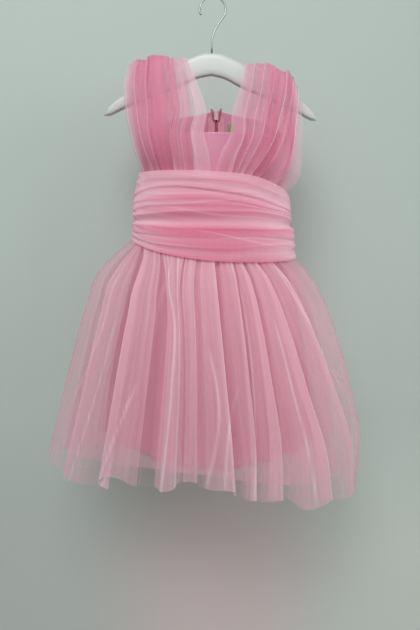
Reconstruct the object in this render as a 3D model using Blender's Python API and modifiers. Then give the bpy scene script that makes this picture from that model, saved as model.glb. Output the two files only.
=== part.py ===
"""A toddler's tulle party dress on a child's hanger.

Metres, +Z up, the dress faces -Y. The origin is the inside top of the hanger's hook, where a rail holds
it, and everything hangs below it. Tables are in millimetres, and MM turns them into metres.

The cloth is a set of open surfaces on grids, each given its wall by Solidify. Left and right are those
of someone who faces the front, so right is +X. Round the body a place is an angle: 0 degrees is the
centre back, 90 is +X, 180 the centre front and 270 -X.
"""

import math

import bmesh
import bpy
import numpy as np

MM = 0.001
SEAM_GAP = 0.3          # between pieces that meet at a seam, mm
SIDE_GAP = 0.7          # between the bodice's and the sash's panels at the side seams
SATIN_WALL = 1.5        # bodice and lining, mm
TULLE_WALL = 1.2        # skirt tulle and shoulder drapes, mm
SASH_WALL = 2.0         # the sash is several layers of tulle, mm

WAIST_SEAM_Z = -318.0   # where the bodice and all the skirt's layers are sewn together, under the sash
BACK_SEAM_X = 5.0       # the dress hangs a little turned, so its centre back lies right of the hook
ZIP_SLOT = 4.0          # between the two back panels, for the zip chain
UNDER_SASH = 0.8        # the skirt starts to spread this far below the sash's lower edge
BODY_WIDTH_TO_DEPTH = 1.8

# Hanger
HANGER_TILT = math.radians(1.3)
BLADE_THICKNESS = 13.0
BLADE_EDGE_ROUND = 2.5
HOOK_WIRE = 2.8
HOOK_RADIUS = 18.4      # of the wire's centre line
HOOK_NECK_Z = -62.0     # where the wire is straight again
HOOK_FOOT_Z = -79.5     # where the wire enters the body

# Half of the blade's outline, from the neck to the tip and back under it.
BLADE_UPPER = (
    # x from centre, z
    (0.0, -80.0), (12.0, -80.5), (22.0, -84.0), (47.0, -96.5), (87.0, -120.0),
    (112.0, -135.0), (128.0, -144.0), (138.0, -149.5), (145.5, -158.5), (150.0, -169.0),
)
BLADE_LOWER = (
    (147.0, -171.5), (125.0, -161.5), (88.0, -144.5), (40.0, -125.5), (18.0, -114.5), (0.0, -110.5),
)

# Half widths and depths of the bodice's wall: a row for each height.
BODICE = (
    # z,     left,  right, front, back
    (-150.0, 112.0, 112.0, 44.0, 44.0),
    (-200.0, 107.0, 107.0, 47.0, 44.6),
    (-228.0, 100.0, 100.0, 49.0, 45.0),
    (-258.0, 95.0, 95.0, 51.0, 45.6),
    (-290.0, 95.0, 95.0, 54.0, 47.0),
    (-318.0, 98.0, 98.0, 57.0, 50.0),
)
# Height of the bodice's top edge round the body: straight across the front, rising to the centre back.
BODICE_TOP = (
    # angle, z
    (0.0, -152.0), (30.0, -160.0), (62.0, -186.0), (90.0, -201.0), (120.0, -204.0), (180.0, -204.0),
    (240.0, -204.0), (270.0, -200.0), (298.0, -184.0), (330.0, -158.0), (360.0, -152.0),
)

# The sash: its wall at each share of the way from its top edge (0) to its bottom edge (1).
SASH = (
    # share, left,  right, front, back
    (0.00, 104.2, 106.8, 62.9, 58.0),
    (0.14, 107.8, 109.3, 65.8, 60.0),
    (0.45, 112.0, 112.5, 69.5, 61.0),
    (0.75, 113.5, 115.0, 71.8, 63.2),
    (1.00, 113.8, 116.2, 72.6, 64.0),
)
SASH_EDGES = (
    # angle, top z,  bottom z
    (0.0, -262.0, -352.0),
    (45.0, -270.0, -358.0),
    (90.0, -284.0, -367.0),
    (125.0, -272.0, -376.0),
    (150.0, -262.0, -379.0),
    (180.0, -257.5, -378.0),
    (215.0, -254.0, -367.0),
    (245.0, -252.0, -352.0),
    (270.0, -251.0, -340.0),
    (315.0, -256.0, -346.0),
    (360.0, -262.0, -352.0),
)
# Its soft folds run round the waist: where each ridge or groove lies as a share of the sash's height.
SASH_FOLDS = (
    # at 270, at 180, at 90, at 0, out, spread
    (0.05, 0.06, 0.06, 0.06, 1.4, 0.05),
    (0.26, 0.27, 0.27, 0.27, 3.0, 0.07),
    (0.40, 0.38, 0.34, 0.38, -1.6, 0.06),
    (0.56, 0.50, 0.44, 0.50, 3.6, 0.08),
    (0.76, 0.63, 0.58, 0.66, -2.0, 0.05),
    (0.88, 0.80, 0.78, 0.82, 1.8, 0.12),
)

# The skirt's layers below the sash: the wall at each share of the way from the sash's edge to the hem.
LINING = (
    # share, left,  right, front, back
    (0.00, 101.0, 101.0, 61.0, 53.8),
    (0.10, 107.0, 106.5, 65.0, 57.0),
    (0.30, 121.0, 119.0, 72.0, 62.0),
    (0.65, 141.0, 133.0, 79.0, 67.0),
    (1.00, 152.0, 141.0, 83.0, 70.0),
)
UNDER_TULLE = (
    (0.00, 105.2, 106.2, 65.0, 57.2),
    (0.08, 121.0, 119.0, 74.5, 64.5),
    (0.16, 134.0, 129.0, 81.0, 69.5),
    (0.30, 152.0, 144.0, 88.0, 75.0),
    (0.48, 168.0, 156.0, 93.5, 79.5),
    (0.72, 188.0, 168.0, 98.5, 83.5),
    (1.00, 203.0, 176.0, 102.0, 86.0),
)
OUTER_TULLE = (
    (0.00, 110.8, 112.8, 69.4, 60.8),
    (0.06, 134.0, 132.0, 81.0, 70.0),
    (0.14, 158.0, 149.0, 91.0, 78.5),
    (0.30, 177.0, 171.0, 103.0, 88.0),
    (0.52, 195.0, 191.0, 113.0, 97.0),
    (0.76, 213.0, 206.0, 121.0, 104.0),
    (1.00, 231.0, 199.0, 126.0, 108.0),
)
# Height of each layer's hem round the body.
HEMS = (
    # angle, lining, under,  outer
    (0.0, -640.0, -655.0, -668.0),
    (45.0, -632.0, -662.0, -680.0),
    (90.0, -628.0, -668.0, -689.0),
    (128.0, -642.0, -672.0, -700.0),
    (155.0, -648.0, -668.0, -688.0),
    (180.0, -650.0, -656.0, -668.0),
    (205.0, -646.0, -648.0, -662.0),
    (230.0, -636.0, -643.0, -672.0),
    (250.0, -626.0, -638.0, -662.0),
    (270.0, -620.0, -630.0, -643.0),
    (315.0, -630.0, -642.0, -654.0),
    (360.0, -640.0, -655.0, -668.0),
)

# Ridges of the outer tulle's front folds: where each leaves the sash, where it reaches the hem, and how
# far it stands out there.
FRONT_FOLDS = (
    # angle at waist, angle at hem, out
    (96.0, 96.0, 8.0),
    (105.0, 104.0, 9.0),
    (114.0, 112.0, 8.0),
    (123.0, 119.0, 9.0),
    (132.0, 126.5, 13.0),
    (140.5, 136.5, 12.0),
    (148.0, 146.0, 8.0),
    (155.5, 155.0, 12.0),
    (165.0, 163.0, 9.0),
    (175.5, 170.5, 10.0),
    (184.0, 177.5, 8.0),
    (192.5, 185.0, 11.0),
    (203.0, 191.5, 11.0),
    (209.5, 197.5, 7.0),
    (216.5, 204.0, 12.0),
    (224.5, 212.0, 8.0),
    (233.0, 221.0, 12.0),
    (240.5, 232.0, 9.0),
    (248.5, 243.5, 8.0),
    (256.5, 254.5, 9.0),
    (264.0, 264.0, 8.0),
)
OUTER_BACK_FOLDS = 16
UNDER_FOLDS = 24
LINING_FOLDS = 16
HEM_AMPLITUDE = {"outer": 9.5, "under": 7.0, "lining": 4.5}
HEM_COLUMN = {"lining": 1, "under": 2, "outer": 3}     # of the table of hems
COLUMNS_PER_FOLD = {"lining": 3, "under": 3, "outer": 4}
FOLD_AT_TOP = 0.06      # height of a fold at the sash's edge, as a share of its height at the hem
FOLD_GROWTH = 0.75      # power of the way down with which it grows from there
FOLD_TURN = 0.8         # power of the way down with which it turns from its waist to its hem angle
HEM_SIDE_GAP = 0.5      # how much wider a gap between two skirt panels is at the hem than at the waist
FOLD_TO_SEAM = 0.02     # radians that a panel's first and last fold columns keep to its seams

# Half widths and depths of each layer's top edge at the waist seam.
WAIST_SEAM = {
    # left, right, front, back
    "lining": (98.9, 98.9, 57.9, 50.9),
    "under": (100.8, 100.8, 59.8, 52.8),
    "outer": (102.5, 102.5, 61.5, 54.5),
}

# The shoulder drapes: a row for each place along the drape, from the front of the waist (0) over the
# hanger (0.5) to the back of the waist (1). Inner is the edge at the neck, outer the edge at the arm.
DRAPE_LEFT = (
    # along, inner x, y, z,        outer x, y, z,          rise, fold
    (0.00, -2.0, -57.0, -267.0, -99.0, -3.0, -261.0, 0.0, 0.5),
    (0.05, -3.0, -57.6, -254.0, -99.8, -6.0, -248.0, 0.0, 0.9),
    (0.11, -5.0, -61.0, -236.0, -107.0, -19.0, -230.0, 0.0, 2.2),
    (0.22, -12.0, -60.0, -204.0, -115.0, -24.0, -200.0, 0.0, 3.2),
    (0.33, -9.0, -51.0, -172.0, -121.5, -26.0, -164.0, 0.0, 3.4),
    (0.42, -22.0, -38.0, -131.0, -123.5, -24.0, -128.0, 3.0, 3.2),
    (0.47, -32.0, -21.0, -101.0, -119.0, -14.0, -108.0, 9.0, 3.0),
    (0.50, -38.0, 0.0, -86.0, -116.0, 0.0, -102.0, 10.0, 2.6),
    (0.53, -38.0, 20.0, -99.0, -119.0, 14.0, -108.0, 9.0, 3.0),
    (0.58, -35.0, 43.0, -130.0, -124.0, 27.0, -132.0, 3.0, 3.0),
    (0.70, -31.0, 52.0, -174.0, -119.0, 28.0, -176.0, 0.0, 3.0),
    (0.84, -27.0, 52.0, -222.0, -106.0, 19.0, -222.0, 0.0, 2.0),
    (0.94, -25.0, 47.8, -257.0, -99.4, 2.5, -252.0, 0.0, 0.8),
    (1.00, -24.0, 47.4, -270.0, -99.0, 3.0, -266.0, 0.0, 0.5),
)
DRAPE_RIGHT = (
    (0.00, 2.0, -57.0, -268.0, 100.8, -3.0, -293.0, 0.0, 0.5),
    (0.05, 4.0, -57.4, -256.0, 101.4, -5.0, -282.0, 0.0, 0.8),
    (0.11, 8.0, -61.0, -238.0, 117.0, -18.0, -264.0, 0.0, 2.2),
    (0.22, 23.0, -60.0, -206.0, 123.0, -23.0, -226.0, 0.0, 3.2),
    (0.33, 26.0, -51.0, -174.0, 123.0, -25.0, -188.0, 0.0, 3.4),
    (0.42, 38.0, -38.0, -133.0, 122.0, -23.0, -160.0, 2.0, 3.2),
    (0.47, 44.0, -21.0, -104.0, 121.0, -14.0, -146.0, 12.0, 3.0),
    (0.50, 47.0, 0.0, -93.6, 120.0, 0.0, -140.0, 16.0, 3.0),
    (0.53, 47.0, 20.0, -104.0, 121.0, 14.0, -144.0, 12.0, 3.0),
    (0.58, 44.0, 43.0, -133.0, 124.0, 27.0, -160.0, 3.0, 3.0),
    (0.70, 41.0, 52.0, -176.0, 122.0, 28.0, -192.0, 0.0, 3.0),
    (0.84, 37.0, 52.0, -226.0, 112.0, 19.0, -240.0, 0.0, 2.0),
    (0.94, 35.0, 47.8, -264.0, 101.2, 2.5, -282.0, 0.0, 0.8),
    (1.00, 34.0, 47.4, -276.0, 100.8, 3.0, -293.0, 0.0, 0.5),
)
DRAPE_FOLDS = 7

# Zip
ZIP_TOP_Z = -165.0      # top of the closed chain, just under the slider
CHAIN_WIDTH = 3.0
CHAIN_THICKNESS = 2.0
TAPE_WIDTH = 11.0
TAPE_WALL = 1.0
SLIDER_Z = -157.5       # middle of the slider
SLIDER_LENGTH = 12.0
SLIDER_WIDTH = 7.5
PLATE = 1.3             # thickness of each of the slider's two plates
CORE_WIDTH = 2.6        # the stem that joins the two plates through the slot
ARCH_WIDTH = 1.4
ARCH_HOLE = 2.2         # between the outer plate and the arch
ARCH_WALL = 0.9
TAB_LENGTH = 24.0       # below its pivot
TAB_WIDTH = 6.4
TAB_THICKNESS = 1.1
TAB_BAR = 0.5           # half the height of the bar that lies in the arch
TAB_FRAME = 1.4         # width of the tab's two sides beside its window
TAB_WINDOW = 6.6        # lower end of the window, below the pivot
SOFT_EDGE = 0.4         # bevel of the slider's edges
TAB_EDGE = 0.25

# Blank label inside the back of the neck
LABEL_X = (20.0, 34.0)
LABEL_Z = (-186.0, -166.0)
LABEL_WALL = 1.0


def clear_scene():
    for thing in list(bpy.data.objects):
        bpy.data.objects.remove(thing)


def new_collection(name, hidden=False):
    made = bpy.data.collections.new(name)
    bpy.context.scene.collection.children.link(made)
    made.hide_render = hidden
    return made


def finish(name, colour, roughness, metallic=0.0, alpha=1.0):
    """A plain Principled material."""
    made = bpy.data.materials.new(name)
    made.use_nodes = True
    shader = made.node_tree.nodes["Principled BSDF"]
    shader.inputs["Base Color"].default_value = (*colour, 1.0)
    shader.inputs["Roughness"].default_value = roughness
    shader.inputs["Metallic"].default_value = metallic
    shader.inputs["Alpha"].default_value = alpha
    return made


def smooth_table(table, column, at):
    """A table's column read at any place: a cubic through its rows, with each row's slope taken from its
    two neighbours."""
    places = np.array([row[0] for row in table])
    values = np.array([row[column] for row in table])
    if places[0] > places[-1]:
        places, values = places[::-1], values[::-1]
    slopes = np.gradient(values, places)
    at = np.clip(at, places[0], places[-1])
    cell = np.clip(np.searchsorted(places, at, side="right") - 1, 0, len(places) - 2)
    width = places[cell + 1] - places[cell]
    t = (at - places[cell]) / width
    return (
        values[cell] * (2 * t**3 - 3 * t**2 + 1)
        + values[cell + 1] * (3 * t**2 - 2 * t**3)
        + slopes[cell] * width * (t**3 - 2 * t**2 + t)
        + slopes[cell + 1] * width * (t**3 - t**2)
    )


def oval(angle, left, right, front, back):
    """A point of the oval with these half widths and depths: each quarter is a quarter ellipse. The
    centre back lies at BACK_SEAM_X, and that shift dies out towards the sides and the front."""
    sine, cosine = np.sin(angle), np.cos(angle)
    x = np.where(sine > 0, right, left) * sine
    y = np.where(cosine > 0, back, front) * cosine
    return x + BACK_SEAM_X * np.maximum(cosine, 0.0) ** 2, y


def ring(angle, table, at):
    """A point of the oval whose sizes the table gives at this place."""
    return oval(angle, *(smooth_table(table, column, at) for column in (1, 2, 3, 4)))


def round_angles(start, stop, count):
    """Angles in radians from start to stop, in degrees, evenly spaced along the body's oval."""
    dense = np.radians(np.linspace(start, stop, 400))
    step = np.hypot(np.diff(BODY_WIDTH_TO_DEPTH * np.sin(dense)), np.diff(np.cos(dense)))
    run = np.concatenate([[0.0], np.cumsum(step)])
    return np.interp(np.linspace(0.0, run[-1], count), run, dense)


def normals_of(points):
    """Unit normals of a grid of points, from the steps along its rows and its columns."""
    down = np.gradient(points, axis=0)
    across = np.gradient(points, axis=1)
    normal = np.cross(across, down)
    return normal / np.linalg.norm(normal, axis=2, keepdims=True)


def wall(name, points, thickness, material, home):
    """An open grid surface, in mm, made an object with a wall by Solidify."""
    rows, columns = points.shape[:2]
    index = np.arange(rows * columns).reshape(rows, columns)
    corners = (index[:-1, :-1], index[:-1, 1:], index[1:, 1:], index[1:, :-1])
    faces = np.stack([c.ravel() for c in corners], axis=1)
    mesh = bpy.data.meshes.new(name)
    mesh.from_pydata((points.reshape(-1, 3) * MM).tolist(), [], faces.tolist())
    mesh.validate()
    made = bpy.data.objects.new(name, mesh)
    made.data.materials.append(material)
    home.objects.link(made)
    shell = made.modifiers.new("wall", "SOLIDIFY")
    shell.thickness = thickness * MM
    shell.offset = 0.0
    mesh.shade_smooth()
    mesh.set_sharp_from_angle(angle=math.radians(50))
    return made


def seam_inset(seam, gap, half_width, half_depth):
    """How far, in radians, a panel's edge is drawn in from its seam for a gap in mm. At a side seam the
    oval runs along its depth, and at the centre back along its width."""
    return gap / (half_depth if seam in (90, 270) else half_width)


def panel_angles(start, stop, columns, gaps, half_width, half_depth):
    """Evenly spaced angles of a panel's columns, each end drawn in by its gap over a third of the panel."""
    share = np.linspace(0.0, 1.0, columns)
    first = seam_inset(start, gaps[0], half_width, half_depth)
    last = seam_inset(stop, gaps[1], half_width, half_depth)
    drawn = np.maximum(1 - 3 * share, 0) * first - np.maximum(3 * share - 2, 0) * last
    return round_angles(start, stop, columns) + drawn


# Bodice


def bodice_panel(name, start, stop, gaps, columns, material, home):
    """A bodice panel between two angles. The gaps are what it keeps to its neighbours' seams, in mm."""
    heights = np.linspace(0.0, 1.0, 5)[:, None]
    half_width, half_depth = BODICE[2][1], BODICE[2][4]
    angles = panel_angles(start, stop, columns, gaps, half_width, half_depth)
    top = smooth_table(BODICE_TOP, 1, np.degrees(angles))
    z = top + heights * (WAIST_SEAM_Z + SEAM_GAP - top)
    x, y = ring(angles[None, :], BODICE, z)
    return wall(name, np.stack([x, y, z], axis=2), SATIN_WALL, material, home)


# Skirt


def layer_ridges(kind):
    """(angles at the waist, angles at the hem, outs) of a layer's fold ridges, in order round the body.
    The outer layer's front reads its folds from the table. The others are worked out, uneven in the same
    way, with a valley at each seam."""
    if kind == "outer":
        front = np.array(FRONT_FOLDS)
        first, last, number = front[-1, 0] - 360.0, front[0, 0], OUTER_BACK_FOLDS
        place = round_angles(first, last, number + 2)[1:-1]
    else:
        number = UNDER_FOLDS if kind == "under" else LINING_FOLDS
        place = round_angles(0.0, 360.0, 2 * number + 1)[1::2]
    count = np.arange(number)
    step = 2 * np.pi / number
    wander = 0.2 * step * np.sin(2.4 * count) * np.abs(np.sin(2 * place))
    out = HEM_AMPLITUDE[kind] * (1 + 0.22 * np.sin(1.7 * count))
    waist, hem = place + wander, place + 0.5 * wander
    if kind == "outer":
        back = place >= 0
        waist = np.concatenate([waist[back], np.radians(front[:, 0]), waist[~back] + 2 * np.pi])
        hem = np.concatenate([hem[back], np.radians(front[:, 1]), hem[~back] + 2 * np.pi])
        out = np.concatenate([out[back], front[:, 2], out[~back]])
    return waist, hem, out


def wave_columns(kind):
    """Angles at the waist and at the hem, wave height and wave of each grid column all round."""
    waist, hem, out = layer_ridges(kind)
    number, per_fold = len(waist), COLUMNS_PER_FOLD[kind]
    turn = 2 * np.pi
    place = np.arange(number * per_fold + 1) / per_fold
    knots = np.arange(-1, number + 2)

    def around(values, full):
        wrapped = np.concatenate([[values[-1] - full], values, [values[0] + full, values[1] + full]])
        return np.interp(place, knots, wrapped)

    return around(waist, turn), around(hem, turn), around(out, 0.0), np.cos(turn * place)


def skirt_panel(name, kind, table, wall_mm, start, stop, material, home):
    """One panel of a skirt layer, from the waist seam under the sash down to the hem, between two angles.
    Row 0 lies at the waist seam, row 1 just below the sash's lower edge, and the rest go by shares. Every
    row has the same columns: those that stay between the panel's two seams all the way down."""
    shares = [row[0] for row in table]
    waist, hem, out, wave = wave_columns(kind)
    lower, upper = math.radians(start), math.radians(stop)
    turned = [waist + (hem - waist) * share**FOLD_TURN for share in shares]
    keep = np.all([(a > lower + FOLD_TO_SEAM) & (a < upper - FOLD_TO_SEAM) for a in turned], axis=0)
    height = np.concatenate([[0.0], (out * wave)[keep], [0.0]])
    rows = []
    for share, angles in zip([None] + shares, turned[:1] + turned):
        below = share or 0.0
        gap = SIDE_GAP / 2 + HEM_SIDE_GAP * below
        half_width, half_depth = (float(smooth_table(table, column, np.array(below))) for column in (1, 4))
        first = lower + seam_inset(start, gap, half_width, half_depth)
        last = upper - seam_inset(stop, gap, half_width, half_depth)
        angles = np.concatenate([[first], angles[keep], [last]])
        if share is None:
            x, y = oval(angles, *WAIST_SEAM[kind])
            z = np.full(len(angles), WAIST_SEAM_Z)
            fold = np.zeros(len(angles))
        else:
            edge = smooth_table(SASH_EDGES, 2, np.degrees(angles)) - UNDER_SASH
            foot = smooth_table(HEMS, HEM_COLUMN[kind], np.degrees(angles))
            x, y = ring(angles, table, np.full(len(angles), share))
            z = edge + (foot - edge) * share
            fold = height * (FOLD_AT_TOP + (1 - FOLD_AT_TOP) * share**FOLD_GROWTH)
        outward = np.stack([np.sin(angles) / BODY_WIDTH_TO_DEPTH, np.cos(angles)])
        outward /= np.linalg.norm(outward, axis=0)
        rows.append(np.stack([x + outward[0] * fold, y + outward[1] * fold, z], axis=1))
    return wall(name, np.stack(rows, axis=0), wall_mm, material, home)


# Sash


def sash_panel(name, start, stop, gaps, columns, material, home):
    """A stretch of the sash between two angles, its ridges and grooves wandering round the waist."""
    shares = np.linspace(0.0, 1.0, 11)
    half_width, half_depth = SASH[2][1], SASH[2][4]
    angles = panel_angles(start, stop, columns, gaps, half_width, half_depth)
    degrees = np.degrees(angles)
    top = smooth_table(SASH_EDGES, 1, degrees)
    bottom = smooth_table(SASH_EDGES, 2, degrees)
    z = top[None, :] + shares[:, None] * (bottom - top)[None, :]
    x, y = ring(angles[None, :], SASH, np.broadcast_to(shares[:, None], z.shape))
    relief = np.zeros(z.shape)
    for at_left, at_front, at_right, at_back, out, spread in SASH_FOLDS:
        around = ((0.0, at_back), (90.0, at_right), (180.0, at_front), (270.0, at_left), (360.0, at_back))
        middle = smooth_table(around, 1, degrees)[None, :]
        relief += out * np.exp(-(((shares[:, None] - middle) / spread) ** 2))
    relief *= np.minimum(1.0, 6 * shares[:, None]) * np.minimum(1.0, 8 * (1 - shares[:, None]))
    points = np.stack([x, y, z], axis=2)
    normal = normals_of(points)
    points += normal * np.maximum(relief, -1.2)[:, :, None]
    return wall(name, points, SASH_WALL, material, home)


# Shoulder drapes


def drape(name, table, side, material, home):
    """A gathered tulle panel over one shoulder: each cross-section is a quarter ellipse between its inner
    and outer edge, with folds that run along the drape."""
    along = np.array([0.0, 0.05, 0.11, 0.18, 0.26, 0.34, 0.40, 0.44, 0.47, 0.50,
                      0.53, 0.56, 0.61, 0.70, 0.82, 0.94, 1.0])[:, None]
    columns = DRAPE_FOLDS * 4 + 1
    across = np.linspace(0.0, 1.0, columns)[None, :]
    place = [smooth_table(table, column, along) for column in range(1, 9)]
    inner_x, inner_y, inner_z, outer_x, outer_y, outer_z, rise, fold = place
    quarter = across * np.pi / 2
    x = inner_x + (outer_x - inner_x) * np.sin(quarter)
    y = outer_y + (inner_y - outer_y) * np.cos(quarter)
    z = inner_z + (outer_z - inner_z) * across + rise * np.sin(np.pi * across)
    points = np.stack(np.broadcast_arrays(x, y, z), axis=2)
    normal = normals_of(points) * side
    uneven = 1 + 0.3 * np.sin(5.0 * across + 1.0)
    wave = -np.cos(2 * np.pi * DRAPE_FOLDS * across) * uneven
    edge = np.minimum(1.0, 8 * across + 0.35)
    points = points + normal * (fold * wave * edge)[:, :, None]
    return wall(name, points, TULLE_WALL, material, home)


# Hanger


def hanger_body(material, home):
    """The blade: its outline is drawn on one half, turned over for the other, filled and given its
    thickness, with rounded edges."""
    half = list(BLADE_UPPER) + list(BLADE_LOWER)
    other = [(-x, z) for x, z in reversed(half) if x > 0]
    outline = bpy.data.curves.new("hanger_body", "CURVE")
    outline.dimensions = "2D"
    outline.fill_mode = "BOTH"
    outline.extrude = (BLADE_THICKNESS / 2 - BLADE_EDGE_ROUND) * MM
    outline.bevel_depth = BLADE_EDGE_ROUND * MM
    outline.offset = -BLADE_EDGE_ROUND * MM
    outline.bevel_resolution = 1
    spline = outline.splines.new("POLY")
    spline.points.add(len(half) + len(other) - 1)
    for point, (x, z) in zip(spline.points, half + other):
        point.co = (x * MM, z * MM, 0.0, 1.0)
    spline.use_cyclic_u = True
    made = bpy.data.objects.new("hanger_body", outline)
    made.rotation_euler = (math.pi / 2, HANGER_TILT, 0.0)
    made.data.materials.append(material)
    home.objects.link(made)
    return made


def hook_path():
    """The wire's centre line: from the left end over the top, down the right side, and by an S-bend to
    the neck on the hanger's centre line."""
    centre_z = -HOOK_RADIUS + HOOK_WIRE / 2
    arc = np.radians(np.linspace(205.0, -35.0, 22))
    x = HOOK_RADIUS * np.cos(arc)
    z = centre_z + HOOK_RADIUS * np.sin(arc)
    t = np.linspace(0.0, 1.0, 8)[1:]
    start_x, start_z = x[-1], z[-1]
    bend_x = start_x * (1 - t) ** 2 * (1 + 0.4 * t)
    bend_z = start_z + (HOOK_NECK_Z - start_z) * t
    return (
        np.concatenate([x, bend_x, [0.0]]),
        np.concatenate([z, bend_z, [HOOK_FOOT_Z + SEAM_GAP]]),
    )


def hanger_hook(material, home):
    x, z = hook_path()
    wire = bpy.data.curves.new("hanger_hook", "CURVE")
    wire.dimensions = "3D"
    wire.bevel_depth = HOOK_WIRE / 2 * MM
    wire.bevel_resolution = 2
    wire.use_fill_caps = True
    spline = wire.splines.new("POLY")
    spline.points.add(len(x) - 1)
    for point, px, pz in zip(spline.points, x, z):
        point.co = (px * MM, 0.0, pz * MM, 1.0)
    made = bpy.data.objects.new("hanger_hook", wire)
    made.rotation_euler = (0.0, HANGER_TILT, 0.0)
    made.data.materials.append(material)
    home.objects.link(made)
    return made


# Zip and label


def back_strip(x_range, z_range, inward, rows, columns):
    """A grid of points on the back's wall, moved inwards by a distance in mm."""
    z = np.linspace(z_range[1], z_range[0], rows)[:, None]
    x = np.linspace(x_range[0], x_range[1], columns)[None, :]
    back = smooth_table(BODICE, 4, z)
    side = smooth_table(BODICE, 2, z)
    from_seam = x - BACK_SEAM_X
    y = back * np.sqrt(1 - (from_seam / side) ** 2) - inward
    return np.stack(np.broadcast_arrays(x, y, z), axis=2)


def box(name, low, high, bevel, home, material=None):
    mesh = bpy.data.meshes.new(name)
    shape = bmesh.new()
    bmesh.ops.create_cube(shape, size=1.0)
    middle = [(a + b) / 2 * MM for a, b in zip(low, high)]
    size = [(b - a) * MM for a, b in zip(low, high)]
    for vertex in shape.verts:
        vertex.co = [m + c * s for m, c, s in zip(middle, vertex.co, size)]
    if bevel:
        bmesh.ops.bevel(shape, geom=shape.edges[:], offset=bevel * MM, segments=1, affect="EDGES")
    shape.to_mesh(mesh)
    shape.free()
    made = bpy.data.objects.new(name, mesh)
    if material:
        made.data.materials.append(material)
    home.objects.link(made)
    return made


def combine(target, others, operation):
    for other in others:
        step = target.modifiers.new(operation.lower(), "BOOLEAN")
        step.operation = operation
        step.object = other
        step.solver = "EXACT"
        other.display_type = "WIRE"
        other.hide_render = True


def zip_parts(tape_material, metal, home, helpers):
    low, high = WAIST_SEAM_Z + 2.0, ZIP_TOP_Z
    centre = BACK_SEAM_X
    inside = SATIN_WALL / 2 + SEAM_GAP + TAPE_WALL / 2
    for name, side in (("zip_tape_left", -1), ("zip_tape_right", 1)):
        ends = sorted((centre + side * ZIP_SLOT / 2, centre + side * (ZIP_SLOT / 2 + TAPE_WIDTH)))
        strip = back_strip(ends, (low, high + 9.0), inside, 8, 3)
        wall(name, strip, TAPE_WALL, tape_material, home)
    chain_x = (centre - CHAIN_WIDTH / 2, centre + CHAIN_WIDTH / 2)
    wall("zip_chain", back_strip(chain_x, (low, high), 0.4, 12, 2), CHAIN_THICKNESS, tape_material, home)

    # The slider straddles the two back panels: a plate inside, a plate outside, a core in the slot, and
    # on the outside a small arch that holds the pull tab.
    back = float(smooth_table(BODICE, 4, np.array(SLIDER_Z)))
    outside_y = back + SATIN_WALL / 2 + SEAM_GAP
    plate_y = outside_y + PLATE
    arch_y = plate_y + ARCH_HOLE
    inside_y = back - inside - TAPE_WALL / 2 - SEAM_GAP
    z0, z1 = SLIDER_Z - SLIDER_LENGTH / 2, SLIDER_Z + SLIDER_LENGTH / 2
    half = SLIDER_WIDTH / 2
    inner_half = half - 0.5
    slider = box("zip_slider", (centre - half, outside_y, z0), (centre + half, plate_y, z1),
                 SOFT_EDGE, home, metal)
    inner = box("slider_inner", (centre - inner_half, inside_y - PLATE, z0),
                (centre + inner_half, inside_y, z1), SOFT_EDGE, helpers)
    core = box("slider_core", (centre - CORE_WIDTH / 2, inside_y - SOFT_EDGE, ZIP_TOP_Z + 2.0),
               (centre + CORE_WIDTH / 2, outside_y + SOFT_EDGE, z1 - 1.0), 0.0, helpers)
    arch = box("slider_arch", (centre - ARCH_WIDTH / 2, outside_y + SOFT_EDGE, z0 + 1.5),
               (centre + ARCH_WIDTH / 2, arch_y + ARCH_WALL, z1 - 1.5), 0.0, helpers)
    arch_hole = box("slider_arch_hole", (centre - ARCH_WIDTH, plate_y, z0 + 3.0),
                    (centre + ARCH_WIDTH, arch_y, z1 - 3.0), 0.0, helpers)
    combine(arch, [arch_hole], "DIFFERENCE")
    combine(slider, [inner, core, arch], "UNION")

    # The pull tab: a plate with a window at its top. The bar above the window lies in the slider's arch
    # and is the hinge's axis.
    pivot = (centre, plate_y + ARCH_HOLE / 2, SLIDER_Z + 1.2)
    half_tab, half_wall = TAB_WIDTH / 2, TAB_THICKNESS / 2
    tab = box("zip_pull_tab", (-half_tab, -half_wall, -TAB_LENGTH), (half_tab, half_wall, TAB_BAR),
              TAB_EDGE, home, metal)
    half_window = half_tab - TAB_FRAME
    window = box("tab_window", (-half_window, -TAB_THICKNESS, -TAB_WINDOW),
                 (half_window, TAB_THICKNESS, -TAB_BAR), 0.0, helpers)
    tab.location = [value * MM for value in pivot]
    window.location = tab.location
    combine(tab, [window], "DIFFERENCE")


def neck_label(material, home):
    inside = SATIN_WALL / 2 + SEAM_GAP + LABEL_WALL / 2
    wall("neck_label", back_strip(LABEL_X, LABEL_Z, inside, 3, 4), LABEL_WALL, material, home)


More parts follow.
